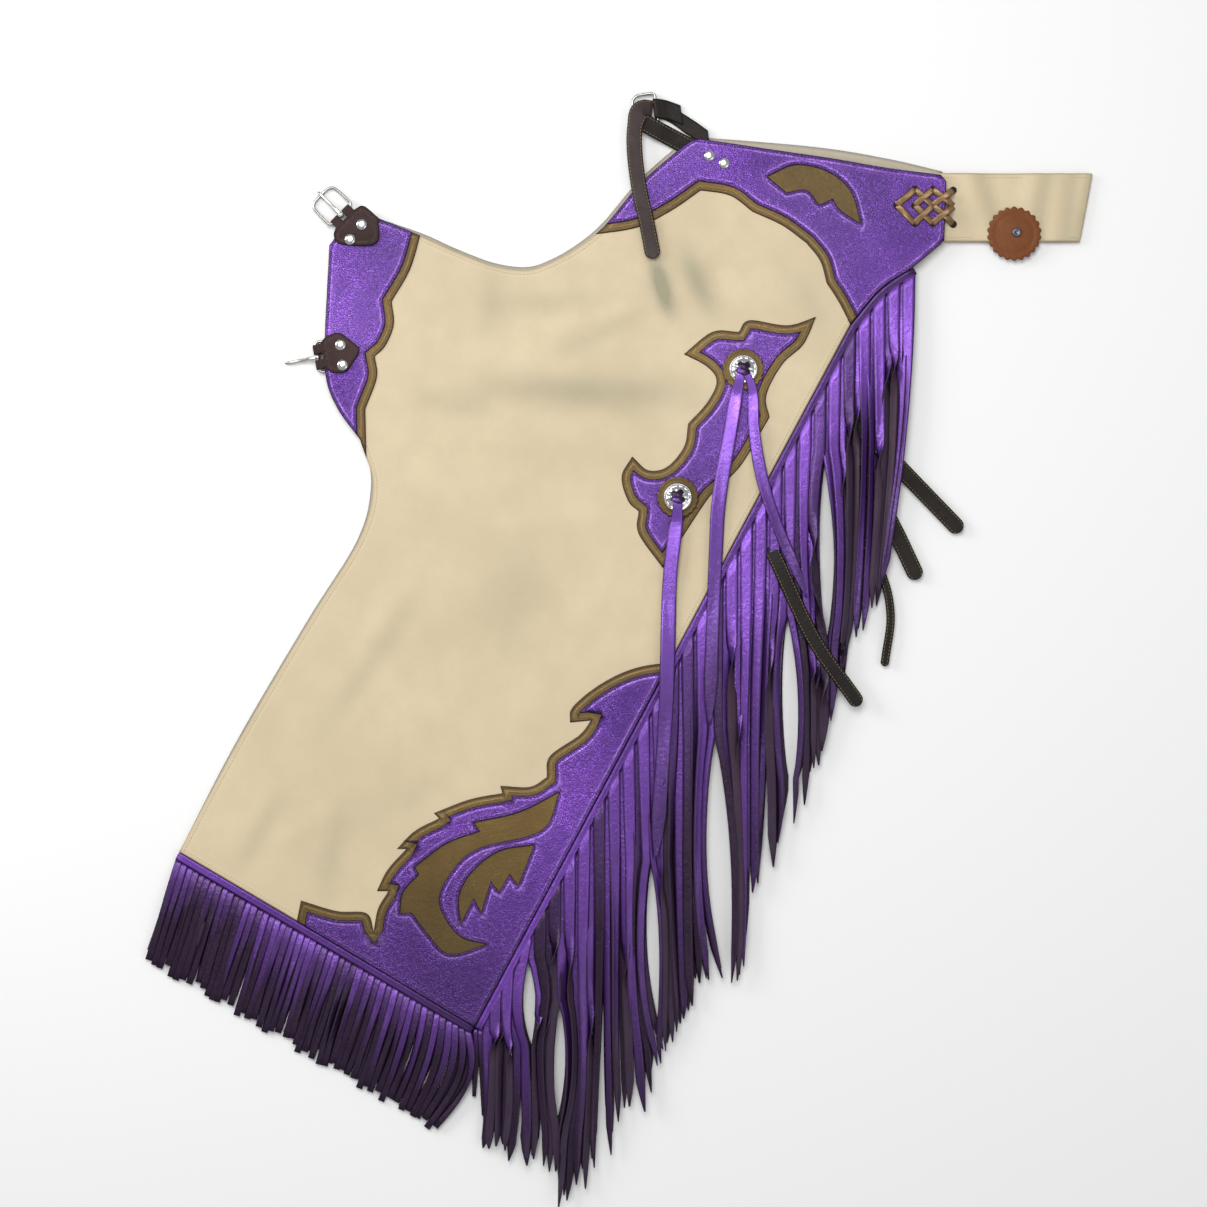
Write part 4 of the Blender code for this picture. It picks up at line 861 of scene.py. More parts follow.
def side_strips(strips, count, middle, shorten, seed, flesh_up):
    """The side fringe: each strip as its solid falls, with its own turn and sway."""
    chance, twist_chance = random.Random(seed), random.Random(seed + 100)
    outer = SEAM_GAP + WELT_W
    start, stop = side_seam.at(0.5, outer)[0], side_seam.at(side_seam.total - 0.5, outer)[0]
    pitch = (stop - start) / (count + 1)
    width = min(12.4, 2 * pitch - 1.3)
    for k in range(count):
        centre = start + k * pitch + width / 2
        at = side_seam.at_x(centre, outer)
        root = side_seam.at(at, outer)[1]
        rise_along = side_seam.at(min(at + 4, side_seam.total), outer) - side_seam.at(at - 4, outer)
        lean = -24 * float(smooth((centre - 210) / 90)) + 6 * math.sin(centre / 31.0)
        lean += 5 * math.sin(centre / 83.0 + 1)
        tip = float(np.interp(centre + lean * 0.5, TIPS[:, 0], TIPS[:, 1])) + shorten + chance.uniform(-6, 16)
        slant = chance.choice((-5, 5))
        length = root - tip
        layer = SIDE_LAYER if k % 2 else -SIDE_LAYER
        t = np.linspace(0, 1, 26)
        wave = twist_chance.uniform(0, 6.3)
        bend = twist_chance.uniform(1.0, 3.2)
        x = centre + lean * t * t + 2.0 * np.sin(centre / 47.0 + 5 * t) * t + bend * np.sin(4.4 * t + wave) * t
        x = x + 7.5 * math.sin(centre / 13.0) * t ** 1.6
        y = root + 4 - (length + 4) * t
        for gap_x, top, bottom, half in PARTINGS:
            open_here = np.sin(math.pi * np.clip((top - y) / (top - bottom), 0, 1)) ** 0.7
            away = x - gap_x
            if open_here.max() > 0.01:
                way = 1 if np.sum(away * open_here) > 0 else -1
                x = x + way * (half + 4) * open_here * np.exp(-(away / 17) ** 2)
        follow = rise_along[1] / max(rise_along[0], 0.5) * (1 - smooth((root - y) / 30))
        choices = (0.08, 0.15, 0.3) if flesh_up else (0.12, 0.25, 0.4, 0.6, 0.9)
        turn = twist_chance.choice(choices) * twist_chance.choice((-1, 1))
        twists = turn * np.sin(t * twist_chance.uniform(2.0, 4.5)) * smooth(t * 2.2)
        if flesh_up and twist_chance.random() < 0.55:
            twists = twists + math.pi
        elif not flesh_up and twist_chance.random() < 0.42:
            twists = twists + math.pi * smooth((t - twist_chance.uniform(0.12, 0.55)) * 5)
        calm = smooth((gap_to_run(ON_TOP, x, y) - 11) / 16) if not flesh_up else 1.0
        twists = twists * calm
        narrow = twist_chance.uniform(0.70, 1.0)
        taper = width * (1 - (1 - narrow) * smooth(t * 2)) * (1 - twist_chance.uniform(0.2, 0.5) * t)
        point = np.clip((1 - t) / 0.07, 0.0, 1.0)
        widths = np.maximum(taper * (0.16 + 0.84 * point), 1.0) * np.sqrt(1 + follow ** 2)
        x = x + slant * 0.25 * (1 - point)
        cup = 0.9 * twist_chance.uniform(-1, 1) * smooth(t * 3) * calm
        tilt_rise = np.abs(np.sin(twists)) * widths / 2
        z = middle + layer + 0.5 * np.sin(5 * t + wave) * t + tilt_rise * 0.45
        z = np.maximum(z, tilt_rise + STRAND_T / 2 + np.abs(cup) + 0.3)
        shade = twist_chance.uniform(0, 0.25) + 0.5 * (twist_chance.random() < 0.28)
        shade += 0.25 * float(smooth((90 - centre) / 200))
        strips.add(np.column_stack((x, y, z)), widths, STRAND_T, twists, cup=cup, shade=shade,
                   side=np.column_stack((np.ones(26), follow, np.zeros(26))))


def hem_strips(strips, count, lengths, root_z, end_z, seed, flesh_up):
    """The hem fringe: one layer that falls a little to the left."""
    chance, twist_chance = random.Random(seed), random.Random(seed + 100)
    outer = SEAM_GAP + WELT_W
    pitch = (hem_seam.total - 3) / count
    for k in range(count):
        middle_s = 1.5 + (k + 0.5) * pitch - 0.5
        root = hem_seam.at(middle_s, outer)
        length = lengths[0] + (lengths[1] - lengths[0]) * (k + 0.5) / count + chance.uniform(-5, 4)
        base = hem_seam.at(middle_s)
        chance.uniform(-3, 3)
        t = np.linspace(0, 1, 16)
        wave = twist_chance.uniform(0, 6.3)
        sway = 1.2 * math.sin(k * 0.9) * t + 1.1 * np.sin(3.2 * t + wave) * t
        plan = root + (HEM_FALL * length)[None, :] * t[:, None] - HEM_FALL * 2 * (1 - t[:, None])
        turn = twist_chance.choice((0.1, 0.2, 0.3) if flesh_up else (0.15, 0.3, 0.5, 0.7))
        twists = turn * twist_chance.choice((-1, 1)) * np.sin(3 * t) * smooth(2 * t)
        widths = (pitch + 0.5) * (1 - 0.10 * t)
        cup = 0.35 * twist_chance.uniform(-1, 1)
        tilt_rise = np.abs(np.sin(twists)) * widths / 2
        z = root_z(*base) + (end_z - root_z(*base)) * smooth(t) + tilt_rise * 0.6 + 0.5 * (k % 2)
        z = np.maximum(z - 2.4 * (1 - smooth(t * 8)), tilt_rise + STRAND_T / 2 + abs(cup) + 0.3)
        bulge = CORNER_BULGE * math.exp((k + 1 - count) / CORNER_STRIPS) * np.sin(math.pi * t)
        if flesh_up:
            twists = twists + math.pi
        strips.add(np.column_stack((plan[:, 0] + sway + bulge, plan[:, 1], z)), widths, STRAND_T, twists, cup=cup,
                   shade=twist_chance.choice((0.3, 0.42, 0.55, 0.7, 0.8)))
    t = np.linspace(0, 1, 12)
    for x, lean, length in ((-125, -3, 66), (-121, 2, 84)):
        z = root_z(*HEM_CORNER) - 2.4 + (end_z + 2.3 - root_z(*HEM_CORNER)) * smooth(t)
        strips.add(np.column_stack((x + lean * t, -357 - length * t, np.maximum(z, STRAND_T / 2 + 0.4))),
                   8.5 * (1 - 0.6 * t), STRAND_T, shade=0.7)


def side_height(x, y):
    return SIDE_MIDDLE


def hem_height(x, y):
    return float(panel_z(x, y)) + PANEL_T / 2


for name, node, slot, outside, build in (
        ("side_fringe_strips", "side_fringe", "purple_leather", fringe_purple, [
            (side_strips, (58, SIDE_MIDDLE, 0.0, 3, False)), (welt, (side_seam, side_height, SIDE_HALF, 1.9))]),
        ("hem_fringe_strips", "hem_fringe", "purple_leather", fringe_purple, [
            (hem_strips, (50, (98, 100), hem_height, 3.6, 5, False)), (welt, (hem_seam, hem_height, 1.1, 1.7))]),
        ("under_side_strips", "under_side_fringe", "purple_leather", under_purple_painted_shade, [
            (side_strips, (46, SIDE_HALF + 0.3, 12.0, 11, True)),
            (welt, (side_seam, lambda x, y: SIDE_HALF + 0.3, 1.6, 1.2))]),
        ("under_hem_strips", "under_hem_fringe", "purple_leather", under_purple_painted_shade, [
            (hem_strips, (30, (92, 94), lambda x, y: 1.3, 1.0, 8, True)),
            (welt, (hem_seam, lambda x, y: 1.2, 0.9, 0.8))])):
    strips = Strips()
    for make, values in build:
        make(strips, *values)
    lay_sheet(strips.made(name, outside, fringe_flesh), "chaps", slot, ["floor"], node)


# Conchos and their strings
# Each concho is a pressed chrome dome with a beaded rim on a scalloped ring of
# gold leather. Purple leather strings run through its two slots, are knotted on
# top and hang down over the leg. Their flat tips are cut to a point.

STRING_T = 1.2
CONCHOS = [(127, 266, -8), (65, 145, 4)]
STRINGS = [
    ("string_1", [(125, 264), (121, 244), (115, 209), (104, 143), (101, 96), (97, -4), (95, -70)], 6.6),
    ("string_2", [(129, 264), (136, 244), (137, 209), (145, 162), (159, 119), (176, 78), (187, 50)], 5.6),
    ("string_3", [(65, 143), (64, 123), (61, 100), (57, 57), (54, -47), (48, -142), (44, -197)], 7.0)]

chrome = plain("bright_chrome", (0.80, 0.80, 0.80), 0.14, metal=1.0)
steel = plain("buckle_steel", (0.50, 0.49, 0.46), 0.26, metal=1.0)
string_purple = fringe_leather("string_purple", (0.30, 0.12, 0.68), (0.13, 0.04, 0.30), 640, 0.6, 0.30)


def round_piece(name, centre, profile, spokes, finish, lobes=0, depth=0.0, flutes=0, raised=0.0):
    """A turned piece from rows of radius, height; its rim may be scalloped, its face fluted."""
    cx, cy, cz = centre
    widest = max(r for r, h in profile)
    points, faces = [(cx, cy, cz + profile[0][1])], []
    for r, h in profile[1:]:
        for k in range(spokes):
            turn = 2 * math.pi * k / spokes
            reach = r - depth * abs(math.cos(lobes * turn / 2)) ** 3 * (r / widest) ** 6 if lobes else r
            rise = raised * math.sin(flutes * turn) * math.sin(math.pi * min(1, r / widest)) if flutes else 0
            points.append((cx + reach * math.cos(turn), cy + reach * math.sin(turn), cz + h + rise))
    points.append((cx, cy, cz))
    last = len(points) - 1
    for k in range(spokes):
        after = (k + 1) % spokes
        faces.append((0, 1 + k, 1 + after))
        for row in range(len(profile) - 2):
            a = 1 + row * spokes
            faces.append((a + k, a + spokes + k, a + spokes + after, a + after))
        a = 1 + (len(profile) - 2) * spokes
        faces.append((a + after, a + k, last))
    made = piece(name, points, faces, finish)
    note(made, "rim", [0.0] + [1.0 if r > widest * 0.97 else 0.0 for r, h in profile[1:] for k in range(spokes)]
         + [0.0])
    return made


def cad_top(node, path):
    """Height of a CAD solid's upper face along the path, carried on past its ends."""
    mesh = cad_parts[node].data
    solid = BVHTree.FromPolygons([v.co for v in mesh.vertices], [tuple(f.vertices) for f in mesh.polygons])
    hits = [solid.ray_cast(Vector((spot[0], spot[1], 1)), Vector((0, 0, -1)))[0]
            for spot in in_frame([(p[0], p[1], 0) for p in path])]
    found = [i for i, hit in enumerate(hits) if hit]
    return np.interp(range(len(path)), found, [hits[i].z * 1000 for i in found])


def run_left(path):
    """Distance from each point of the path to its far end."""
    steps = np.linalg.norm(np.diff(path, axis=0), axis=1)
    return np.concatenate((np.cumsum(steps[::-1])[::-1], [0.0]))


for number, (x, y, tilt) in enumerate(CONCHOS, 1):
    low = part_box("concho_ring_%d" % number)[0][2] * 1000
    disc = round_piece("concho_ring_%d_leather" % number, (x, y, low), [
        (0, 1.4), (12.0, 1.4), (15.4, 1.5), (16.6, 1.1), (17.6, 1.6), (19.0, 1.5), (19.9, 1.1), (20.0, 0.5),
        (19.8, 0.0)], 120, gold, lobes=20, depth=1.5)
    lay_sheet(disc, "chaps", "gold_leather", ["mid_overlay_sheet"], "concho_ring_%d" % number)
    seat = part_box("concho_%d" % number)[0][2] * 1000
    dome = round_piece("concho_%d_dome" % number, (x, y, seat), [
        (0, 4.4), (2.5, 4.5), (5.0, 4.4), (7.0, 4.0), (8.6, 3.3), (9.8, 2.6), (10.6, 2.2), (11.2, 2.3),
        (12.0, 2.8), (12.8, 2.6), (13.4, 1.9), (13.6, 1.0), (13.6, 0.0)], 72, chrome, flutes=12, raised=0.25)
    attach(dome, "chaps")
    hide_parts("concho_%d" % number)
    bead_line = [(x + 12.3 * math.cos(k / 12), y + 12.3 * math.sin(k / 12), seat + 2.7) for k in range(75)]
    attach(row_of_pieces("concho_%d_beads" % number, [bead_line], 1.9, (1.6, 1.6, 1.3), chrome, True), "chaps")

    knot = Strips()
    c, s = math.cos(math.radians(tilt)), math.sin(math.radians(tilt))

    def around(rows):
        return [(x + u * c - v * s, y + u * s + v * c, seat + h) for u, v, h in rows]

    for rows, width, shade in (
            ([(-5.0, -3.5, 3.2), (-4.2, -2.0, 5.4), (-1.5, 1.2, 6.6), (2.2, 3.8, 6.0), (4.6, 5.6, 3.6)], 6.0, 0.55),
            ([(5.4, -4.2, 3.0), (4.0, -2.6, 5.2), (1.0, 0.4, 7.6), (-2.6, 3.2, 6.4), (-5.2, 5.0, 3.4)], 5.4, 0.75),
            ([(-4.6, -0.6, 5.4), (-1.2, -2.8, 7.6), (2.6, -3.4, 7.4), (4.8, -1.0, 5.4)], 5.6, 0.35)):
        path = open_path(around(rows), 1.2)
        knot.add(path, width, STRING_T, across=6, cup=-0.5, blunt=0.7, shade=shade)
    lay_sheet(knot.made("concho_%d_knot" % number, string_purple, fringe_flesh), "chaps", "purple_leather",
              ["concho_%d_dome" % number])

for title, points, half in STRINGS:
    path = open_path(points, 5)
    top = cad_top(title, path)
    top = np.convolve(np.pad(top, 4, mode='edge'), np.ones(9) / 9, 'valid')
    left = run_left(path)
    t = 1 - left / left[0]
    twists = 0.22 * np.sin(9 * t + half) * smooth(5 * t) * smooth(6 * (1 - t))
    widths = 2 * half * np.interp(left, (0, 22, 44), (0.12, 0.72, 1.0)) * (1 - 0.05 * np.sin(11 * t))
    from_knot = left[0] - left
    widths *= np.interp(from_knot, (0, 12, 30), (0.55, 0.72, 1.0))
    over_concho = 5.6 * (1 - smooth((from_knot - 5) / 17))
    centres = np.column_stack((path, top - STRING_T / 2 + np.abs(np.sin(twists)) * half * 0.6 + 0.3 + over_concho))
    flat_string = Strips()
    flat_string.add(centres, widths, STRING_T, twists, across=6, cup=0.7 * smooth(t * 6), blunt=0.6)
    lay_sheet(flat_string.made(title + "_strip", string_purple, fringe_flesh), "chaps", "purple_leather",
              ["leg_face_up"], title)


# Inner-thigh buckles
# Two dark leather tabs are riveted on the thigh overlay and wrap the bars of
# small bent-wire buckles. The upper one lies open; the lower one's frame is
# folded under the leg, so that only its tongue points out.

TAB_T = 1.4
LUG_T = 1.2
WIRE_R = 1.4
FRAME_W, FRAME_L = 29.0, 27.5
BARS = [((-254.0, 413.0, 5.6), 135.0, -8, -8), ((-276.5, 278.0, 4.2), 190.0, -174.5, -8)]
TAB_SHAPES = [
    [(6, -12.3, 1), (10, -21, 0), (28, -23, 1), (43, -4, 0), (20, 20, 0), (10, 19, 0), (6, 12.3, 1)],
    [(6, -12.3, 1), (12, -17, 0), (24, -19, 0), (34, -10, 0), (41, 0, 0), (34, 10, 0), (24, 19, 0), (12, 17, 0),
     (6, 12.3, 1)]]
TAB_RIVETS = [(-234, 403), (-245, 389), (-254, 289), (-252, 270)]
CAP = [(0, 1.6), (1.6, 1.55), (3.0, 1.35), (4.2, 0.9), (4.9, 0.45), (5.2, 0.0)]

# The tab's light colour is a painted highlight along its padded edge.
tab_leather = leather("tab_leather", (0.050, 0.022, 0.020), (0.020, 0.010, 0.009), (0.010, 0.006, 0.005),
                      800, 0.6, 0.16, 0.55, broad=0.6, light=(0.085, 0.045, 0.04), shine=0.2)


def turned_out(bar, angle, u, v, z=0.0):
    c, s = math.cos(math.radians(angle)), math.sin(math.radians(angle))
    return (bar[0] + u * c - v * s, bar[1] + u * s + v * c, z)


def swung(bar, angle, tilt, u, v, h):
    """A point of a buckle's own plane: along it, across it and above it."""
    c, s = math.cos(math.radians(tilt)), math.sin(math.radians(tilt))
    return turned_out(bar, angle, u * c - h * s, v, bar[2] + u * s + h * c)


def merged(name, *made):
    """One object from several that lie where they belong."""
    whole = bmesh.new()
    for one in made:
        whole.from_mesh(one.data)
    mesh = made[0].data
    whole.to_mesh(mesh)
    whole.free()
    for one in made[1:]:
        bpy.data.objects.remove(one)
    made[0].name = name
    return made[0]


def wire_frame(name, bar, angle, tilt, width, length, finish, body, node):
    """A buckle frame bent from round wire, its corners rounded."""
    half = width / 2
    rows = [(0, 0), (0, half - 3), (1.2, half - 0.8), (4, half), (length - 6, half - 0.5),
            (length - 1.5, half - 3.5), (length, half - 8)]
    rows += [(u, -v) for u, v in rows[:0:-1]]
    count = len(rows)
    path = []
    for i in range(count):
        a, b, c, d = (np.array(rows[(i + k) % count], float) for k in (-1, 0, 1, 2))
        for t in (0, 0.25, 0.5, 0.75):
            path.append(b + 0.5 * t * (c - a) + t * t * (a - 2.5 * b + 2 * c - 0.5 * d)
                        + t ** 3 * (1.5 * b - 1.5 * c + 0.5 * d - 0.5 * a))
    bent = bpy.data.curves.new(name, 'CURVE')
    bent.dimensions = '3D'
    bent.bevel_depth = WIRE_R / 1000
    bent.bevel_resolution = 4
    spline = bent.splines.new('POLY')
    spline.points.add(len(path) - 1)
    spline.use_cyclic_u = True
    for point, (u, v) in zip(spline.points, path):
        point.co = (*in_frame(swung(bar, angle, tilt, u, v, 0))[0], 1)
    holder = bpy.data.objects.new(name, bent)
    bpy.context.scene.collection.objects.link(holder)
    depsgraph = bpy.context.evaluated_depsgraph_get()
    mesh = bpy.data.meshes.new_from_object(holder.evaluated_get(depsgraph))
    bpy.data.objects.remove(holder)
    mesh.materials.clear()
    mesh.materials.append(finish)
    mesh.polygons.foreach_set("use_smooth", [True] * len(mesh.polygons))
    made = bpy.data.objects.new(name, mesh)
    bpy.context.scene.collection.objects.link(made)
    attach(made, body)
    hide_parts(node)


def wire_tongue(name, bar, angle, tilt, body, node):
    """A tongue whose eye wraps the bar and whose finger reaches past the frame."""
    eye = WIRE_R + 0.3 + 0.75
    over = WIRE_R + 0.35
    rows = [(eye * math.cos(math.radians(a)), eye * math.sin(math.radians(a))) for a in range(-60, -311, -25)]
    rows += [(FRAME_L * 0.28, over + 0.6), (FRAME_L * 0.6, over + 0.1), (FRAME_L, over + 0.9),
             (FRAME_L + 2.4, over + 0.6), (FRAME_L + 4.0, over - 0.1)]
    path = open_path([swung(bar, angle, tilt, u, 0, h) for u, h in rows], 1.0)
    left = run_left(path)
    widths = 3.8 * np.interp(left, (0, 1.5, 4, 22, 28), (0.3, 0.62, 0.75, 0.8, 1.0))
    finger = Strips()
    across = turned_out((0, 0, 0), angle, 0, 1)
    finger.add(path, widths, 1.5, across=6, side=across, blunt=0.6)
    made = finger.made(name, steel, steel)
    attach(made, body)
    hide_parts(node)


for number, ((bar, angle, frame_tilt, tongue_tilt), shape) in enumerate(zip(BARS, TAB_SHAPES), 1):
    node = "thigh_tab_%d" % number
    plate_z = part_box(node)[1][2] * 1000 - TAB_T
    loop = outline([(*turned_out(bar, angle, -u, v)[:2], corner) for u, v, corner in shape], 1.5)
    plate = sheet_of_leather(node + "_plate", [loop], lambda xy: inside(loop, xy), lambda x, y: 0 * x + plate_z,
                             TAB_T, 2.0, tab_leather, rings=(0.5, 1.1, 2.0), roll=0.6, groove=0.3, groove_at=2.2)
    level = plate_z + TAB_T / 2 - bar[2]
    reach = WIRE_R + 0.3 + LUG_T / 2
    drop = level - reach
    lugs = Strips()
    for v in (-7.2, 7.2):
        rows = [(-14.0, level), (-6.9, level), (-4.2, level - 0.20 * drop), (-1.8, level - 0.72 * drop)]
        rows += [(reach * math.cos(math.radians(75 - 17 * k)), reach * math.sin(math.radians(75 - 17 * k)))
                 for k in range(11)]
        rows.append((-4.5, -reach))
        path = open_path([turned_out(bar, angle, u, v, bar[2] + h) for u, h in rows], 1.0)
        lugs.add(path, 9.2, LUG_T, across=6, side=turned_out((0, 0, 0), angle, 0, 1), blunt=0.5)
    tab = merged(node + "_leather", plate, lugs.made(node + "_lugs", tab_leather, tab_leather))
    lay_sheet(tab, "chaps", "dark_leather", ["thigh_overlay_sheet"], node, held="folded")
    wire_frame("buckle_%d_wire_frame" % number, bar, angle, frame_tilt, FRAME_W, FRAME_L, steel,
               "frame_%d" % number, "buckle_frame_%d" % number)
    wire_tongue("buckle_%d_wire_tongue" % number, bar, angle, tongue_tilt, "tongue_%d" % number,
                "buckle_tongue_%d" % number)

for number, (x, y) in enumerate(TAB_RIVETS, 1):
    node = "tab_rivet_%d" % number
    cap = round_piece(node + "_cap", (x, y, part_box(node)[0][2] * 1000), CAP, 40, chrome)
    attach(cap, "chaps")
    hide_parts(node)


# Front belt
# One wide band of the cream leather is folded on itself at the front of the
# waist. Flat bronze laces cross between punched holes to hold it to the yoke,
# and a scalloped russet leather rosette is riveted on its lower edge.

BAND = [(276, 6.3), (318, 6.3), (336, 5.4), (356, 4.2), (400, 3.8), (430, 4.3), (444, 5.2), (450, 4.6),
        (452, 3.3), (449, 1.9), (440, 1.3), (400, 1.3), (356, 1.3), (336, 2.4), (318, 3.7), (276, 3.7)]
BAND_MIDDLE = 420
BAND_HALF = 33.0
BAND_SIDE = (0.184, 0.983, 0)
LACE_T = 1.3
LACE_HALF = 2.3
COLUMNS, LINES = (272, 289, 306, 326), (436, 421, 404)
ROSETTE = (384, 395)

band_line = open_path([(x, BAND_MIDDLE, z) for x, z in BAND], 5)
band = Strips()
band.add(band_line, 2 * BAND_HALF, PANEL_T, across=22, side=BAND_SIDE, blunt=0.5)
spots = np.array(band.points)
upper = spots[:, 2] > 2.9
slack = ((398, 0.2, 9, 2.4), (424, 0.1, 8, 1.6), (350, -0.3, 9, 1.8))
swell = sum(rise * np.exp(-((spots[:, 0] - x - lean * (spots[:, 1] - 420)) / width) ** 2)
            for x, lean, width, rise in slack)
spots[:, 2] += swell * upper
band.points = list(spots)
front_band = band.made("front_band_leather", cream, cream)
# Painted shade just beside each slack swell of the band's upper layer.
shaded = sum(np.exp(-((spots[:, 0] - x - lean * (spots[:, 1] - 420) - 13) / 8) ** 2) for x, lean, _, _ in slack)
note(front_band, "smudge", 0.35 * shaded * upper)
lay_sheet(front_band, "chaps", "cream_leather", ["leg_face_down"], "front_band",
          held="folded", cut=(2 * BAND_HALF / 1000, run_left(band_line)[0] / 1000))
side = np.array(BAND_SIDE[:2])
top_run = [p for p in band_line if p[2] > 3.3]
band_rows = [[(*(p[:2] + side * (BAND_HALF - 4.0) * way), p[2] + PANEL_T / 2) for p in top_run] for way in (1, -1)]
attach(row_of_pieces("front_band_sewing", band_rows, STITCH_PITCH, STITCH, cream_thread), "chaps")

bronze_lace = leather("bronze_lace", (0.36, 0.21, 0.10), (0.15, 0.085, 0.035), (0.05, 0.025, 0.01), 900, 0.5, 0.12,
                      0.34, gloss=0.2, metal=0.5)


def lace_height(x):
    on_yoke = PANEL_HIGH + PANEL_T + TRIM_T + OVERLAY_T + 3 * LAYER_GAP + 0.1
    return on_yoke - 5.4 * smooth((x - 320.5) / 5.0)


laces = Strips()
holes = []
for i in range(3):
    for j in range(2):
        for k, (j_from, j_to) in enumerate(((j, j + 1), (j + 1, j))):
            if i == 0 and LINES[j_from] != LINES[1]:
                continue
            a, b = np.array((COLUMNS[i], LINES[j_from]), float), np.array((COLUMNS[i + 1], LINES[j_to]), float)
            path = open_path([a, a + (b - a) * 0.5, b], 1.2)
            t = np.linspace(0, 1, len(path))
            rise = lace_height(path[:, 0]) + LACE_T / 2 - 1.3 * (np.abs(2 * t - 1)) ** 6 + (0.55 if k else 0)
            laces.add(np.column_stack((path, rise)), 2.9 * LACE_HALF, 0.9, 0.3 * np.sin(6.3 * t), across=4, cup=-0.3,
                      blunt=0.6, shade=0.1 * ((i + j + k) % 3))
lay_sheet(laces.made("lacing_laces", bronze_lace, bronze_lace), "chaps", "gold_leather", ["yoke_overlay_sheet"],
          "lacing", held="gathered")

# Black discs in the punched holes are painted shade, where the holes go down into the layers beneath.
hole_black = plain("hole_black", (0.006, 0.004, 0.006), 0.8)
holes = [(x, LINES[1]) for x in COLUMNS[:3]] + [(x, y) for x in COLUMNS[1:] for y in (LINES[0], LINES[2])]
punched = [round_piece("hole_%d" % k, (x, y, float(lace_height(x)) - 0.5), [(0, 0.55), (2.3, 0.55), (2.9, 0.8),
                                                                           (3.4, 0.6), (3.6, 0.0)], 20, hole_black)
           for k, (x, y) in enumerate(holes)]
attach(merged("lacing_holes_painted_shade", *punched), "chaps")

russet = leather("russet_leather", (0.215, 0.066, 0.015), (0.12, 0.034, 0.008), (0.045, 0.014, 0.005), 700, 0.7,
                 0.14, 0.55, broad=0.6, shine=0.25)
rosette = round_piece("rosette_leather", (*ROSETTE, 5.6), [
    (0, 3.2), (6, 3.1), (12, 2.9), (17.5, 2.7), (18.6, 2.3), (19.8, 2.7), (23.0, 2.6), (24.8, 2.3), (25.8, 1.4),
    (25.7, 0.5), (25.2, 0.0)], 180, russet, lobes=22, depth=1.9)
lay_sheet(rosette, "chaps", "tan_leather", ["front_band_leather"], "rosette")
blued = plain("blued_steel", (0.16, 0.17, 0.20), 0.35, metal=1.0)
cap = round_piece("rosette_rivet_cap", (386, 396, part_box("rosette_rivet")[0][2] * 1000), [
    (0, 1.0), (1.6, 1.05), (2.4, 1.5), (3.4, 1.6), (4.2, 1.1), (4.6, 0.0)], 36, blued)
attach(cap, "chaps")
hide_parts("rosette_rivet")


# Back belt
# The face-down yoke carries a dark strap that wraps a steel buckle; the
# face-up yoke's billet, held by two rivets, runs to it, and the billet's long
# narrow tail falls back over the leg. All are well-worn black belt leather.

BELT_T = 1.8
LOOP_BAR = (45.0, 514.0, 3.6)
LOOP_T = 1.2
LOOP_R = WIRE_R + 0.3 + LOOP_T / 2
belt_leather = leather("belt_leather", (0.017, 0.012, 0.009), (0.007, 0.005, 0.004), (0.006, 0.004, 0.003),
                       520, 0.7, 0.26, 0.52, broad=0.6, shine=0.22)
tail_leather = leather("tail_leather", (0.055, 0.034, 0.030), (0.024, 0.014, 0.013), (0.016, 0.010, 0.009),
                       620, 0.65, 0.18, 0.48, broad=0.6, shine=0.3)
tan_thread = plain("tan_thread", (0.26, 0.20, 0.09), 0.65)


def strap(name, path, widths, thick, finish, node, rests_on, side=None, held="laid", sewn=0.0, thread=None):
    """A strap along its middle line, with a row of stitches beside each edge."""
    run = Strips()
    run.add(path, widths, thick, across=8, side=side, blunt=0.55, cup=-0.15)
    lay_sheet(run.made(name, finish, finish), "chaps", "dark_leather", rests_on, node, held=held,
              cut=(np.max(widths) / 1000, run_left(path)[0] / 1000))
    if sewn:
        ahead = np.gradient(path, axis=0)
        flat = np.cross((0, 0, 1), ahead)
        flat /= np.linalg.norm(flat, axis=1)[:, None]
        widths = np.broadcast_to(widths, len(path))
        wide = widths > 0.75 * widths.max()
        rows = [[tuple(p + f * (w / 2 - sewn) * way + (0, 0, thick / 2 - 0.05))
                 for p, f, w, good in zip(path, flat, widths, wide) if good] for way in (1, -1)]
        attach(row_of_pieces(name + "_sewing", rows, STITCH_PITCH, STITCH, thread), "chaps")


def rounded(path, half, length=7.0, both=False):
    """The path carried on by its rounded end, and the strap's width along it."""
    ahead = path[-1] - path[-2]
    ahead /= np.linalg.norm(ahead)
    path = np.vstack((path, [path[-1] + ahead * length * t for t in (0.25, 0.5, 0.72, 0.88, 1.0)]))
    left = run_left(path)
    end = np.minimum(left, left[0] - left) if both else left
    return path, 2 * half * np.sqrt(np.clip(1 - (1 - np.clip(end / (half * 0.95), 0.02, 1)) ** 2, 0.02, 1))


loop_rows = [(95, 484, 3.1), (84, 492, 3.0), (72, 500, 2.0), (61, 508, 1.1), (52, 513, 0.9)]
loop_rows += [(LOOP_BAR[0] + LOOP_R * math.cos(math.radians(-90 - 20 * k)), LOOP_BAR[1],
               LOOP_BAR[2] + LOOP_R * math.sin(math.radians(-90 - 20 * k))) for k in range(10)]
loop_rows += [(51, 513.5, 4.4), (58, 512, 3.0), (69, 508, 3.0)]
strap("back_loop_leather", open_path(loop_rows, 1.2), 19.0, LOOP_T, belt_leather, "back_loop", ["floor"],
      side=(-0.122, 0.9925, 0), held="folded")
billet = [(122, 459, 3.8), (100, 467, 3.8), (78, 477, 3.8), (64, 484, 4.0), (54, 489, 5.8), (46, 493, 7.5),
          (28, 503, 7.5)]
billet_path, billet_widths = rounded(open_path(billet, 3), 8.6, 2.0)
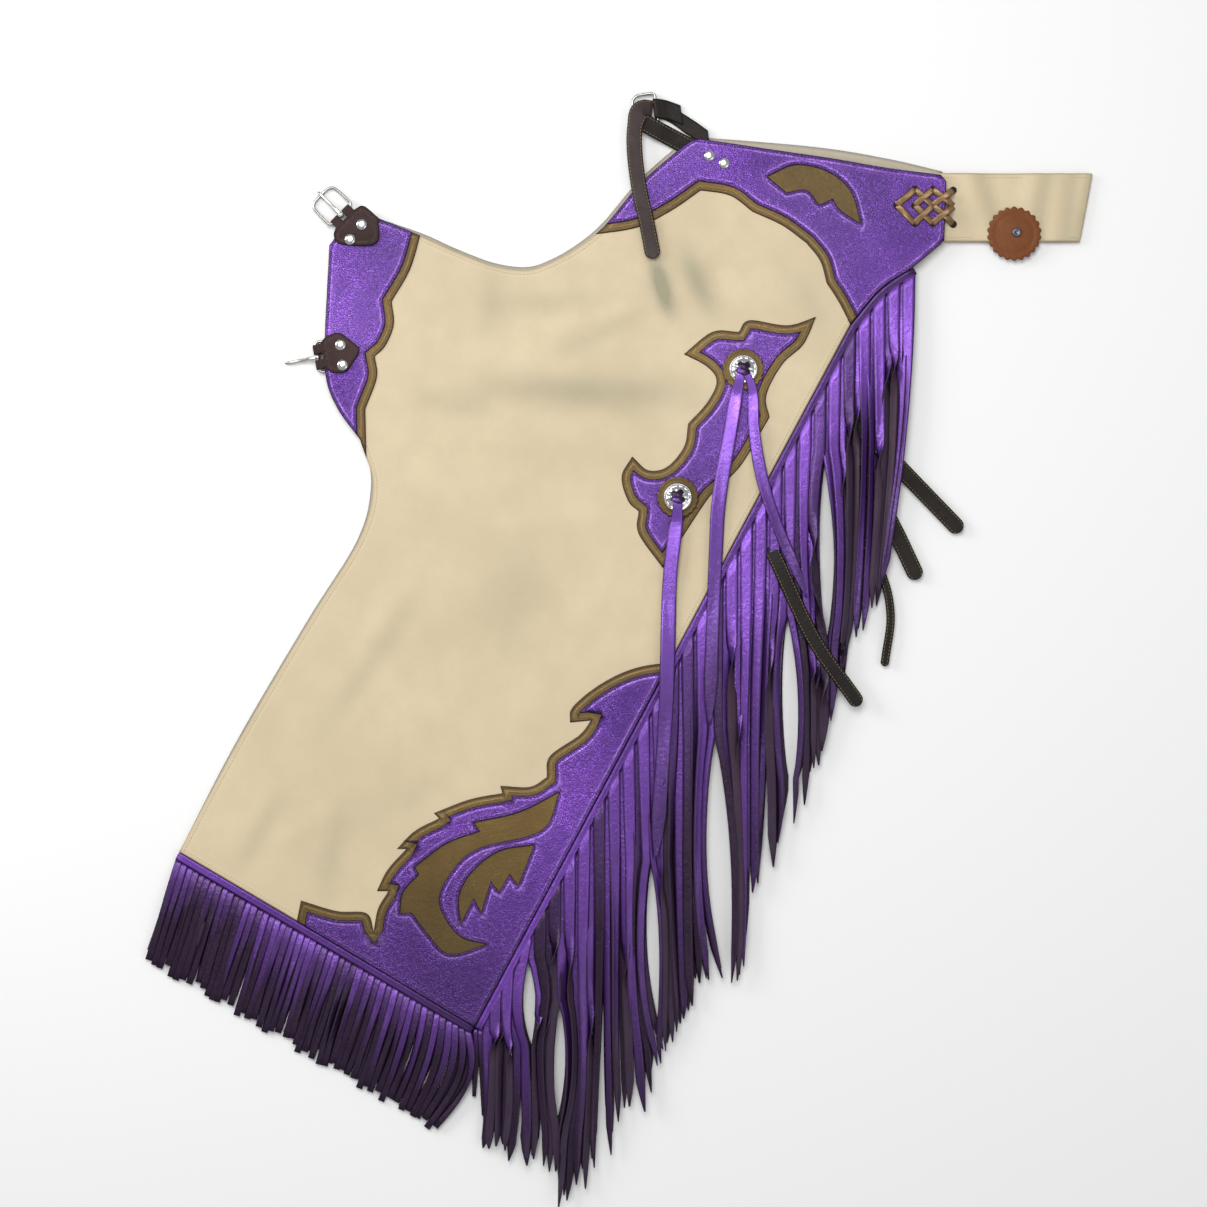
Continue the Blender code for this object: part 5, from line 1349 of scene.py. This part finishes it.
strap("back_billet_leather", billet_path, billet_widths, BELT_T, belt_leather, "back_billet", ["leg_face_down"],
      sewn=2.0, thread=tan_thread)
wire_frame("back_buckle_wire_frame", LOOP_BAR, 187, 0, 30, 22, steel, "chaps", "back_buckle")
tail_points = [(41, 512), (31, 512), (25.5, 501), (24, 478), (28, 441), (36, 404), (41, 378)]
tail_path, tail_widths = rounded(open_path(tail_points, 3), 7.4)
tail_start = run_left(tail_path)[0] - run_left(tail_path)
tail_widths = tail_widths + 4.0 * (1 - smooth((tail_start - 12) / 16))
tail_top = cad_top("back_tail", tail_path)
tail_top = np.convolve(np.pad(tail_top, 3, mode='edge'), np.ones(7) / 7, 'valid')
tail_top = tail_top - 4.5 * (1 - smooth(tail_start / 14))
strap("back_tail_leather", np.column_stack((tail_path, tail_top - BELT_T / 2)), tail_widths, BELT_T, tail_leather,
      "back_tail", ["leg_face_up"], sewn=1.6, thread=tan_thread)
for number, (x, y) in enumerate(((95, 468), (109, 461)), 1):
    node = "yoke_rivet_%d" % number
    cap = round_piece(node + "_cap", (x, y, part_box(node)[0][2] * 1000), CAP, 40, chrome)
    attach(cap, "chaps")
    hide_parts(node)


# Leg straps
# Narrow black straps with rounded ends and two rows of tan stitches close the
# legs behind. Three lie between the two fringes; the fourth has come out on top.

BETWEEN_FRINGES = 5.4
ON_FRINGE = 12.3
LEG_STRAPS = [
    (7.8, BETWEEN_FRINGES, [(214, 234), (246, 204), (276, 173), (329, 118)]),
    (7.8, BETWEEN_FRINGES, [(222, 180), (250, 152), (270, 116), (290, 74)]),
    (4.0, BETWEEN_FRINGES, [(232, 118), (258, 74), (267, 34), (262, -8)]),
    (7.0, ON_FRINGE, [(146, 112), (161, 80), (193, 12), (233, -46)])]
for number, (half, height, points) in enumerate(LEG_STRAPS, 1):
    path, widths = rounded(open_path([(*p, height) for p in points], 5), half)
    if height == ON_FRINGE:
        path[:, 2] -= 6.5 * (1 - smooth((run_left(path)[0] - run_left(path) - 6) / 26))
    strap("leg_strap_%d_leather" % number, path, widths, BELT_T, belt_leather, "leg_strap_%d" % number,
          ["under_side_strips"], sewn=1.7, thread=tan_thread)
